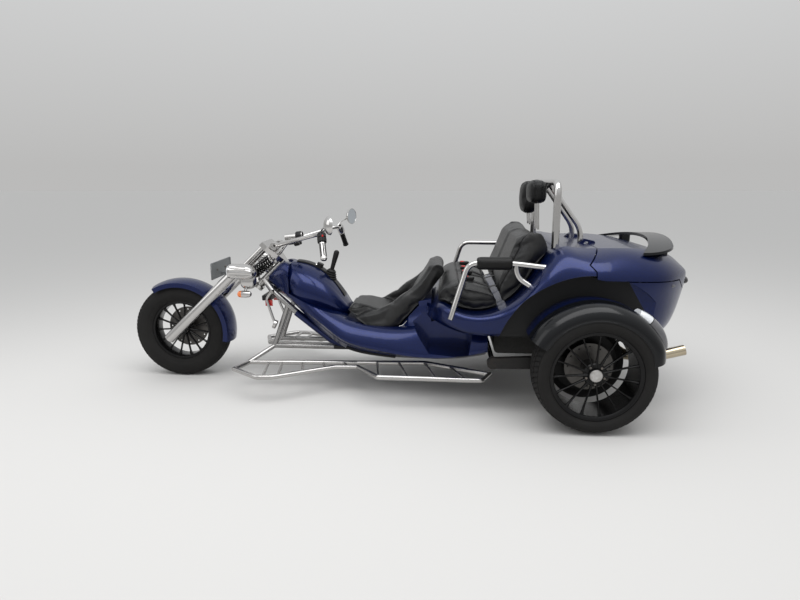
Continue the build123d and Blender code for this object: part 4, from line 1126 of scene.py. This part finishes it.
coilSizes = {"top": (1922, 0, 798), "foot": (2034, 0, 711), "radius": 0.034, "wire": 0.0058, "turns": 8.0,
             "plate": 38, "tube": 19, "rod": 12, "seat": 30, "eye": 20}


def makeCoil(sizes):
    top, foot = at(*sizes["top"]), at(*sizes["foot"])
    way = top - foot
    coil = grow(pathObject("coilSeed", [[foot, top]]), makeCoilTree(), "forkCoil", "wheelBlack",
                Turns=sizes["turns"], Radius=sizes["radius"], Length=way.length, Wire=sizes["wire"],
                Centre=foot, Turn=way.to_track_quat("Z", "Y").to_euler())
    keep(coil, "steering", ["spring_strut"])
    long = way.length * 1000
    plate, tube, stem, seat, eye = (sizes[part] for part in ("plate", "tube", "rod", "seat", "eye"))
    core = [(-26, 0), (-26, 15), (-14, 15), (-12, plate), (-3, plate), (-1, seat), (0, tube),
            (long * 0.55, tube), (long * 0.56, stem), (long - 2, stem), (long, seat), (long + 2, plate),
            (long + 12, plate), (long + 14, eye), (long + 30, eye), (long + 30, 0)]
    keep(turnedOn("forkDamper", core, sizes["foot"], sizes["top"], "chrome"), "steering")


makeCoil(coilSizes)

leverSizes = {"foot": (1537, 0, 672), "top": (1480, 0, 862),
              "bellows": [(-20, 0), (-20, 48), (0, 47), (5, 44), (9, 47), (13, 47), (18, 39), (22, 41),
                          (27, 41), (32, 34), (36, 36), (41, 36), (46, 28), (50, 31), (55, 31), (60, 24),
                          (66, 21), (66, 12), (60, 0)],
              "stick": [(60, 0), (60, 13), (95, 14), (140, 16.5), (172, 18), (186, 17), (194, 12), (198, 0)]}
for part in ("bellows", "stick"):
    piece = turnedOn("lever" + part.capitalize(), leverSizes[part], leverSizes["foot"], leverSizes["top"],
                     "blackRubber")
    keep(piece, "chassis", ["gear_lever"])

mirrorSizes = {"place": (1444, 411, 1054), "facing": (-90, -43, 0),
               "shell": [(-1, 51), (2, 52.5), (2, 55), (-3, 55.6), (-10, 53), (-20, 44), (-28, 32), (-33, 18),
                         (-35, 0), (-1, 0)],
               "glass": [(-1, 0), (-1, 51.5), (0.6, 51.5), (0.8, 0)],
               "stem": [(1530, 285, 990), (1512, 318, 1022), (1470, 398, 1046)], "stemRadius": 5.5}


def makeMirror(sizes, side):
    name = nameOf(side) + "Mirror"
    ahead = tuple(a + b for a, b in zip(sizes["place"], sizes["facing"]))
    here, ahead = sided([sizes["place"], ahead], side)
    shell = turnedOn(name + "Shell", sizes["shell"], here, ahead, "chrome", 72)
    keep(shell, "steering", ["mirrors"])
    keep(turnedOn(name + "Glass", sizes["glass"], here, ahead, "mirrorGlass", 72), "steering")
    rod(name + "Stem", sided(sizes["stem"], side), sizes["stemRadius"], "chrome", "steering")


for side in (1, -1):
    makeMirror(mirrorSizes, side)

barSizes = {"path": [(1878, 0, 893), (1878, 66, 893), (1704, 170, 944), (1552, 256, 988), (1514, 300, 990),
                     (1500, 344, 930), (1487, 392, 850)], "radius": 13.5}
for side in (1, -1):
    rod(nameOf(side) + "Bar", sided(barSizes["path"], side), barSizes["radius"], "chrome", "steering",
        ["handlebar"], 20, 60)

# what is clamped on the handlebar, each turned about its own line
clampedSizes = {
    "leftGrip": {"from": (1507, 336, 945), "to": (1487, 392, 848), "finish": "chrome", "slot": "chrome",
                 "nodes": ["grips"],
                 "profile": [(0, 14), (0, 18.5), (96, 18.5), (98, 20), (104, 20), (110, 16), (113, 0)]},
    "rightGrip": {"from": (1507, -336, 945), "to": (1487, -392, 848), "finish": "blackRubber",
                  "slot": "rubber", "nodes": ["grips"],
                  "profile": [(0, 14), (0, 20), (6, 20), (8, 17.5), (98, 17.5), (100, 20), (108, 20),
                              (112, 15), (112, 0)]},
    "leftSwitch": {"from": (1516, 306, 990), "to": (1507, 336, 945), "finish": "blackMoulding",
                   "slot": "black_plastic",
                   "profile": [(-8, 14), (-8, 24), (-3, 27), (20, 27), (22, 24), (26, 24), (28, 28), (50, 27),
                               (56, 22), (56, 14)]},
    "rightSwitch": {"from": (1516, -306, 990), "to": (1507, -336, 945), "finish": "chrome", "slot": "chrome",
                    "profile": [(-6, 14), (-6, 22), (0, 25), (46, 25), (54, 22), (54, 14)]},
    "redButton": {"from": (1506, 330, 986), "to": (1502, 342, 990), "finish": "redPlastic", "slot": "rubber",
                  "profile": [(0, 0), (0, 6), (7, 6), (9, 0)]},
    "barRiserCap": {"from": (1878, -84, 893), "to": (1878, 84, 893), "finish": "chrome", "slot": "chrome",
                    "profile": [(0, 13), (0, 23), (4, 25), (48, 25), (52, 23), (52, 14), (116, 14), (116, 23),
                                (120, 25), (164, 25), (168, 23), (168, 13)]},
}
for name, sizes in clampedSizes.items():
    piece = turnedOn(name, sizes["profile"], sizes["from"], sizes["to"], sizes["finish"])
    keep(piece, "steering", sizes.get("nodes", []))


stripSizes = {"count": 7, "from": 8, "to": 90, "inner": 18.3, "outer": 19.6, "halfTurn": 0.2}


def stripForm(sizes, grip):
    # strips lying lengthwise on a grip
    bm = bmesh.new()
    first, last = at(*grip["from"]), at(*grip["to"])
    turn = Vector((0, 1, 0)).rotation_difference(last - first).to_matrix()
    low, high, half = sizes["from"], sizes["to"], sizes["halfTurn"]
    for i in range(sizes["count"]):
        centre = 2 * math.pi * i / sizes["count"]
        corners = []
        for radius in (sizes["inner"], sizes["outer"]):
            for along, shift in ((low, -half), (high, -half), (high, half), (low, half)):
                a = centre + shift
                spot = Vector((radius * math.cos(a), along, radius * math.sin(a))) / 1000
                corners.append(bm.verts.new(first + turn @ spot))
        for face in ((3, 2, 1, 0), (4, 5, 6, 7), (0, 1, 5, 4), (1, 2, 6, 5), (2, 3, 7, 6), (3, 0, 4, 7)):
            bm.faces.new([corners[k] for k in face])
    bmesh.ops.recalc_face_normals(bm, faces=bm.faces[:])
    return bm


strips = meshObject("leftGripStrips", stripForm(stripSizes, clampedSizes["leftGrip"]), "blackRubber")
keep(crisp(strips), "steering")

gaugeSizes = {"front": (1826, 0, 943), "back": (1704, 0, 954),
              "Cup": {"finish": "chrome", "nodes": ["gauge"],
                      "profile": [(0, 0), (1, 14), (5, 20), (12, 22.5), (74, 24), (80, 27), (80, 0)]},
              "Dial": {"finish": "blackMoulding",
                       "profile": [(78, 0), (78, 28), (84, 31), (108, 32), (116, 30), (119, 27.5), (116, 26),
                                   (112, 0)]},
              "Face": {"finish": "smokeLens", "profile": [(111, 0), (111, 26), (113.5, 26), (114, 0)]},
              "Bezel": {"finish": "chrome", "profile": [(116, 27), (118, 30.5), (121, 29.5), (120, 26.5)]},
              "stay": [(1792, 0, 925), (1830, 0, 880), (1866, 0, 832)], "stayRadius": 9,
              "knobs": [(1722, 26, 912), (1722, -26, 912)], "knobWay": (34, 0, -8),
              "knob": [(0, 0), (0, 15), (4, 17), (30, 17), (34, 14), (34, 0)],
              "knobStay": [(1752, -26, 905), (1790, 0, 900), (1815, 0, 899)], "knobStayRadius": 7}


def makeGauge(sizes):
    for part in ("Cup", "Dial", "Face", "Bezel"):
        piece = turnedOn("gauge" + part, sizes[part]["profile"], sizes["front"], sizes["back"],
                         sizes[part]["finish"], 64)
        keep(piece, "steering", sizes[part].get("nodes", []))
    rod("gaugeStay", sizes["stay"], sizes["stayRadius"], "chrome", "steering")
    for number, place in enumerate(sizes["knobs"]):
        front = tuple(a + b for a, b in zip(place, sizes["knobWay"]))
        knob = turnedOn(f"gaugeKnob{number}", sizes["knob"], front, place, "blackMoulding")
        keep(knob, "steering")
    rod("gaugeKnobStay", sizes["knobStay"], sizes["knobStayRadius"], "blackMoulding", "steering")


makeGauge(gaugeSizes)

# reflector lenses on their bracket's two ends
reflectorSizes = {"centre": (1923, 523), "half": (24, 20), "rings": [(89.6, 0), (93.5, 0), (95, 2)]}


def makeReflector(sizes, side):
    (x, z), (long, tall) = sizes["centre"], sizes["half"]
    rings = []
    for y, inset in sizes["rings"]:
        rings.append([at(x + p * (long - inset), side * y, z + q * (tall - inset))
                      for p, q in ((-1, -1), (1, -1), (1, 1), (-1, 1))])
    lens = meshObject(nameOf(side) + "Reflector", loftForm(rings), "redLens")
    keep(crisp(lens), "chassis")


for side in (1, -1):
    makeReflector(reflectorSizes, side)

# tank top: filler cap and switch knob
tankTopSizes = {
    "fillerCap": {"from": (1690, 0, 757), "to": (1682, 0, 777),
                  "profile": [(0, 0), (0, 30), (6, 33), (18, 33), (23, 29), (25, 0)]},
    "consoleKnob": {"from": (1626, 0, 748), "to": (1616, 0, 772),
                    "profile": [(0, 0), (0, 11), (20, 11), (24, 8), (24, 0)]},
}
for name, sizes in tankTopSizes.items():
    keep(turnedOn(name, sizes["profile"], sizes["from"], sizes["to"], "chrome"), "chassis")

plateSizes = {"edge": [(2264.2, -168, 686), (2264.2, 168, 686), (2264.2, 168, 786), (2264.2, -168, 786)],
              "edgeRadius": 0.003, "boltWays": [-70, 70], "boltX": (2264.5, 2250), "boltZ": 736,
              "bolt": [(0, 0), (0, 7), (4, 7), (6, 4), (6, 0)]}
edge = tubeAlong("plateEdge", [at(*p) for p in plateSizes["edge"]], plateSizes["edgeRadius"], "plateGrey",
                 closed=True)
keep(edge, "steering")
for number, y in enumerate(plateSizes["boltWays"]):
    rear, front = [(x, y, plateSizes["boltZ"]) for x in plateSizes["boltX"]]
    bolt = turnedOn(f"plateBolt{number}", plateSizes["bolt"], rear, front, "boltSteel", 12)
    keep(bolt, "steering")
say("front end")


# rear: roll bar, armrests, fenders, tail lamps, belts, mouldings and trim
def bent(points, radius, steps=8):
    # a path through points in millimetres with its corners rounded
    path = [at(*p) for p in points]
    out = [path[0]]
    for before, corner, after in zip(path, path[1:], path[2:]):
        first = corner + (before - corner).normalized() * radius / 1000
        last = corner + (after - corner).normalized() * radius / 1000
        for i in range(steps + 1):
            t = i / steps
            out.append(first * (1 - t) ** 2 + corner * 2 * t * (1 - t) + last * t ** 2)
    return out + [path[-1]]


def frameTube(name, points, bend, radius, finish="chrome", nodes=()):
    tube = tubeAlong(name, bent(points, bend), radius / 1000, finish, sides=28)
    return keep(tube, "chassis", nodes)


hoopSizes = {"path": [(162, 390, 925), (162, 390, 1292), (162, -390, 1292), (162, -390, 925)], "bend": 72,
             "radius": 21, "brace": [(162, 96, 1292), (-46, 108, 1008), (-38, 120, 915)], "braceBend": 60,
             "braceRadius": 16}
armSizes = {"rail": [(748, 552, 545), (652, 521, 860), (400, 520, 858), (205, 548, 838)], "railBend": 55,
            "stay": [(395, 521, 857), (382, 530, 780), (290, 548, 722)], "stayBend": 38, "radius": 16}
frameTube("hoop", hoopSizes["path"], hoopSizes["bend"], hoopSizes["radius"], nodes=["roll_bar"])
for side in (1, -1):
    frameTube(nameOf(side) + "Brace", sided(hoopSizes["brace"], side), hoopSizes["braceBend"],
              hoopSizes["braceRadius"])
for side in (1, -1):
    frameTube(nameOf(side) + "ArmRail", sided(armSizes["rail"], side), armSizes["railBend"],
              armSizes["radius"], nodes=["armrests"] if side > 0 else [])
    frameTube(nameOf(side) + "ArmStay", sided(armSizes["stay"], side), armSizes["stayBend"],
              armSizes["radius"])


def aroundAxle(angle, radius, y):
    # a place at an angle in degrees and a radius in millimetres about the rear axle
    a = math.radians(angle)
    return at(0, 0, rearRadius) + Vector((radius * math.cos(a), y, radius * math.sin(a))) / 1000


# fenders: a section of (across, radius) in millimetres swept round the rear axle, lower towards its rear end
fenderSizes = {"from": 28, "to": 167, "steps": 70, "thick": 5, "dropFrom": 150, "drop": 16,
               "Band": {"outer": [(700.3, 381), (735, 381.5), (762, 379.5), (784, 374.5), (803, 367),
                                  (819, 357), (832, 344), (840, 330), (844, 315), (845, 298)],
                        "finish": "blackPaint", "slot": "black_gloss", "node": "fender_band"},
               "Inner": {"outer": [(545.3, 369), (570, 373), (600, 377), (640, 380), (670, 381),
                                   (699.7, 381)],
                         "finish": "bluePaint", "slot": "body_blue", "node": "fender_inner"},
               "lip": (842.6, 299), "lipRadius": 0.0035}


def fenderAngles(sizes):
    # each angle with how far the fender drops there
    first, last, steps = sizes["from"], sizes["to"], sizes["steps"]
    for i in range(steps + 1):
        angle = first + i * (last - first) / steps
        yield angle, sizes["drop"] * max(0, (angle - sizes["dropFrom"]) / (last - sizes["dropFrom"])) ** 2


def fenderSection(outer, thick):
    inner = []
    for i, (y, r) in reversed(list(enumerate(outer))):
        inner.append((y - thick * 0.6 if i > len(outer) // 2 else y, r - thick))
    return outer + inner


def makeFender(sizes, part, side):
    piece = sizes[part]
    section = fenderSection(piece["outer"], sizes["thick"])
    rings = [[aroundAxle(angle, r - drop, side * y) for y, r in section]
             for angle, drop in fenderAngles(sizes)]
    fender = meshObject(nameOf(side) + "Fender" + part, loftForm(rings), piece["finish"])
    keep(crisp(fender, 42), "chassis", [piece["node"]] if side > 0 else [])


for part in ("Band", "Inner"):
    for side in (1, -1):
        makeFender(fenderSizes, part, side)
for side in (1, -1):
    y, r = fenderSizes["lip"]
    path = [aroundAxle(angle, r - drop, side * y) for angle, drop in fenderAngles(fenderSizes)]
    lip = tubeAlong(nameOf(side) + "FenderLip", path, fenderSizes["lipRadius"], "blackPaint")
    keep(lip, "chassis")

tailLampSizes = {"from": 123.5, "span": 35.5, "across": 712, "radius": 373, "tall": (18, 26),
                 "wide": (34, 34), "steps": 18, "Clear": {"from": 123.5, "to": 133.2, "finish": "clearLens"},
                 "Smoke": {"from": 133.8, "to": 159, "finish": "smokeLens"},
                 "jointAt": 133.5, "jointLift": 0.8, "jointRadius": 0.0016}


def lampRing(sizes, angle, side, lift=0.0):
    # height over the fender and half width grow towards the middle of the lamp
    share = (angle - sizes["from"]) / sizes["span"]
    full = math.sin(math.pi * min(1, max(0, 0.06 + share * 0.9))) ** 0.55
    tall, wide = [low + more * full + lift for low, more in (sizes["tall"], sizes["wide"])]
    ring = []
    for i in range(40):
        t = 2 * math.pi * i / 40
        c, s = math.cos(t), math.sin(t)
        y = sizes["across"] + wide * math.copysign(abs(c) ** 0.7, c)
        r = sizes["radius"] + (tall if s > 0 else 4) * math.copysign(abs(s) ** 0.8, s)
        ring.append(aroundAxle(angle, r, side * y))
    return ring


def makeTailLamp(sizes, side):
    for part in ("Clear", "Smoke"):
        first, last = sizes[part]["from"], sizes[part]["to"]
        rings = [lampRing(sizes, first + (last - first) * i / sizes["steps"], side)
                 for i in range(sizes["steps"] + 1)]
        lens = meshObject(nameOf(side) + "TailLamp" + part, loftForm(rings), sizes[part]["finish"])
        keep(crisp(lens, 50), "chassis", ["tail_lamps"] if side > 0 and part == "Clear" else [])
    ring = lampRing(sizes, sizes["jointAt"], side, sizes["jointLift"])
    joint = tubeAlong(nameOf(side) + "LampJoint", ring, sizes["jointRadius"], "blackMoulding", closed=True)
    keep(joint, "chassis")


for side in (1, -1):
    makeTailLamp(tailLampSizes, side)

# posts under the headrests
postSizes = {"across": 42, "top": (-6, 24), "bend": (-8, -30), "foot": -14, "footHeight": 1022, "radius": 7}


def makePost(sizes, headrest, side):
    x, y, z = headrest["place"]
    y += side * sizes["across"]
    z -= headrest["half"][2]
    path = [(x + sizes["top"][0], y, z + sizes["top"][1]), (x + sizes["bend"][0], y, z + sizes["bend"][1]),
            (x + sizes["foot"], y, sizes["footHeight"])]
    rod(f"{headrest['name']}Post{side}", path, sizes["radius"], "chrome", "chassis")


for headrest in headrestSizes:
    for side in (1, -1):
        makePost(postSizes, headrest, side)

# belts on the passengers' bench, each with its red-buttoned buckle
beltSizes = {"ways": [(40, 90), (345, 310), (-40, -90), (-345, -310)], "from": [(470, 700), (520, 706)],
             "to": (640, 745), "wide": 0.023, "thick": 0.003, "lift": 0.001,
             "buckle": (0.034, 0.024, 0.011), "buckleLift": 0.012,
             "button": (0.014, 0.018, 0.003), "buttonLift": 0.0225, "buttonAhead": 0.016}


def strapForm(bench, path, across, sizes):
    rings = []
    reach = across * sizes["wide"]
    for place in path:
        near, normal, face, gap = bench.find_nearest(place)
        low = near + normal * sizes["lift"]
        high = near + normal * (sizes["lift"] + sizes["thick"])
        rings.append([low - reach, low + reach, high + reach, high - reach])
    return loftForm(rings)


def makeBelt(bench, sizes, number):
    foot, end = sizes["ways"][number]
    corners = [at(x, foot, z) for x, z in sizes["from"]] + [at(sizes["to"][0], end, sizes["to"][1])]
    path = spaced(corners, 0.01)
    belt = meshObject(f"belt{number}", strapForm(bench, path, Vector((0.1, 1, 0)).normalized(), sizes),
                      "seatThread")
    keep(crisp(belt), "chassis")
    near, normal, face, gap = bench.find_nearest(path[-1])
    buckle = pillowForm(near + normal * sizes["buckleLift"], sizes["buckle"], 5.0, 6)
    keep(meshObject(f"buckle{number}", buckle, "blackMoulding"), "chassis")
    place = near + normal * sizes["buttonLift"] + Vector((sizes["buttonAhead"], 0, 0))
    button = pillowForm(place, sizes["button"], 5.0, 4)
    keep(meshObject(f"buckleButton{number}", button, "redPlastic"), "chassis")


bench = surfaceOf(seats["passengerSeat"], seats["passengerBack"])
for number in range(len(beltSizes["ways"])):
    makeBelt(bench, beltSizes, number)

# body trim: skirt over the front rails, side moulding, crease, bead, side markers and tail lip
skirtSizes = {"path": [(1742, 100, 466), (1700, 100, 432), (1500, 92, 268), (1436, 92, 254)], "bend": 34,
              "radius": 23.5}
trimSizes = {
    "Moulding": {"path": [(1398, 235, 262), (1300, 262, 234), (1180, 290, 226), (1080, 302, 226)],
                 "step": 0.008, "rounds": 24, "lift": 0.002, "radius": 0.011, "finish": "blackMoulding",
                 "slot": "black_plastic"},
    "Crease": {"path": [(1712, 150, 532), (1560, 210, 470), (1400, 250, 372), (1260, 280, 318),
                        (1110, 292, 300)],
               "step": 0.008, "rounds": 60, "lift": 0.0, "radius": 0.0022, "finish": "bluePaint",
               "slot": "body_blue"},
    "Bead": {"path": [(1010, 240, 452), (1060, 262, 420), (1110, 262, 402), (1170, 250, 396)],
             "step": 0.006, "rounds": 24, "lift": 0.0008, "radius": 0.0028, "finish": "chrome",
             "slot": "chrome"},
}
markerSizes = {"place": (-438, 470, 738), "half": (0.03, 0.006, 0.009), "power": 2.6}
bodySurface = surfaceOf(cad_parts["front_body"])
rearSurface = surfaceOf(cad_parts["rear_body"])
for side in (1, -1):
    frameTube(nameOf(side) + "Skirt", sided(skirtSizes["path"], side), skirtSizes["bend"],
              skirtSizes["radius"], "bluePaint")
    for part, sizes in trimSizes.items():
        path = smoothPath([at(*p) for p in sided(sizes["path"], side)], sizes["step"], sizes["rounds"])
        trim = tubeAlong(nameOf(side) + part, layOn(bodySurface, path, sizes["lift"]), sizes["radius"],
                         sizes["finish"])
        keep(trim, "chassis")
    spot, normal, face, gap = rearSurface.find_nearest(at(*sided([markerSizes["place"]], side)[0]))
    marker = pillowForm(spot, markerSizes["half"], markerSizes["power"], 6)
    keep(meshObject(nameOf(side) + "Marker", marker, "smokeLens"), "chassis")

lipSizes = {"path": [(-560, 330, 735), (-640, 220, 722), (-672, 110, 718), (-684, 0, 716), (-672, -110, 718),
                     (-640, -220, 722), (-560, -330, 735)], "step": 0.012, "lift": 0.004, "radius": 0.016}
path = spaced([at(*p) for p in lipSizes["path"]], lipSizes["step"])
path = smoothPath(layOn(surfaceOf(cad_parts["boot_lid"]), path, lipSizes["lift"]), lipSizes["step"], 8)
keep(tubeAlong("tailLip", path, lipSizes["radius"], "blackMoulding", sides=14), "boot_lid")

# backing plates behind the rear discs, made wide and black so that they also stand as painted shade for what
# is seen through the wheels
backingShadeSizes = {"profile": [(560, 46), (560, 176), (580, 205), (583, 205), (563, 175), (563, 46)]}
for side in (1, -1):
    profile = [(side * y, r) for y, r in backingShadeSizes["profile"]]
    plate = turned(nameOf(side) + "BackingShade", profile, at(0, 0, rearRadius), "blackMoulding", 64)
    keep(plate, "chassis")
say("rear")


# floor, light and camera
studio = {"floorTone": 0.6, "floorSize": 60, "horizon": (0.497, 0.9), "light": (0.3, 0.95),
          "lights": {"keyLight": {"place": (-0.6, 1.5, 4.6), "target": (-0.2, 0, 0.5), "size": (6.0, 3.0),
                                  "watts": 165},
                     "fillLight": {"place": (3.4, 1.5, 2.6), "target": (0, 0, 0.5), "size": (2.5, 2.5),
                                   "watts": 22}}}


def makeFloor(sizes):
    bm = bmesh.new()
    bmesh.ops.create_grid(bm, x_segments=1, y_segments=1, size=sizes["floorSize"])
    mesh = bpy.data.meshes.new("studioFloor")
    bm.to_mesh(mesh)
    bm.free()
    floor = addObject("studioFloor", mesh)
    material, tree, shader = newMaterial("floorPale")
    tone = sizes["floorTone"]
    shader.inputs["Base Color"].default_value = (tone, tone * 0.985, tone * 0.965, 1)
    shader.inputs["Roughness"].default_value = 0.9
    mesh.materials.append(material)


def makeWorld(sizes):
    # the sky that is seen and mirrored is paler at the horizon than the one that lights
    world = bpy.data.worlds.new("studioWorld")
    bpy.context.scene.world = world
    world.use_nodes = True
    tree = world.node_tree
    coords = addNode(tree, "ShaderNodeTexCoord")
    ramp = remap(tree, splitPoint(tree, coords.outputs["Generated"])["Z"], 0.02, 0.75)
    tones = []
    for low, high in (sizes["light"], sizes["horizon"]):
        tones.append(mixColour(tree, ramp, (low, low * 0.995, low * 0.985),
                               (high * 0.965, high * 0.985, high)))
    path = addNode(tree, "ShaderNodeLightPath")
    seen = maths(tree, "MAXIMUM", path.outputs["Is Camera Ray"],
                 maths(tree, "MAXIMUM", path.outputs["Is Glossy Ray"], path.outputs["Is Transmission Ray"]))
    back = tree.nodes["Background"]
    join(tree, (mixColour(tree, seen, *tones), back.inputs["Color"]))
    back.inputs["Strength"].default_value = 1.0


def makeLight(name, sizes):
    light = bpy.data.lights.new(name, "AREA")
    light.shape = "RECTANGLE"
    light.size, light.size_y = sizes["size"]
    light.energy = sizes["watts"]
    obj = addObject(name, light)
    obj.location = sizes["place"]
    way = Vector(sizes["target"]) - Vector(sizes["place"])
    obj.rotation_euler = way.to_track_quat("-Z", "Y").to_euler()


makeFloor(studio)
makeWorld(studio)
for name, sizes in studio["lights"].items():
    makeLight(name, sizes)

shot = {"place": (-0.2775, 3.627, 1.316), "yaw": 4.10, "pitch": 12.14, "roll": 0.11, "focal": 563.6,
        "pictureWidth": 800, "sensor": 36}


def makeCamera(sizes):
    yaw, pitch = math.radians(sizes["yaw"]), math.radians(sizes["pitch"])
    look = Vector((math.sin(yaw) * math.cos(pitch), -math.cos(yaw) * math.cos(pitch), -math.sin(pitch)))
    across = Vector((-math.cos(yaw), -math.sin(yaw), 0))
    over = across.cross(look)
    turn = Matrix.Rotation(math.radians(sizes["roll"]), 3, look)
    facing = Matrix((turn @ across, turn @ over, -look)).transposed()
    data = bpy.data.cameras.new("camera")
    data.sensor_fit = "HORIZONTAL"
    data.sensor_width = sizes["sensor"]
    data.lens = sizes["focal"] / sizes["pictureWidth"] * sizes["sensor"]
    camera = addObject("camera", data)
    camera.matrix_world = Matrix.Translation(sizes["place"]) @ facing.to_4x4()
    bpy.context.scene.camera = camera


makeCamera(shot)
bpy.context.scene.view_settings.view_transform = "Standard"
say("studio")
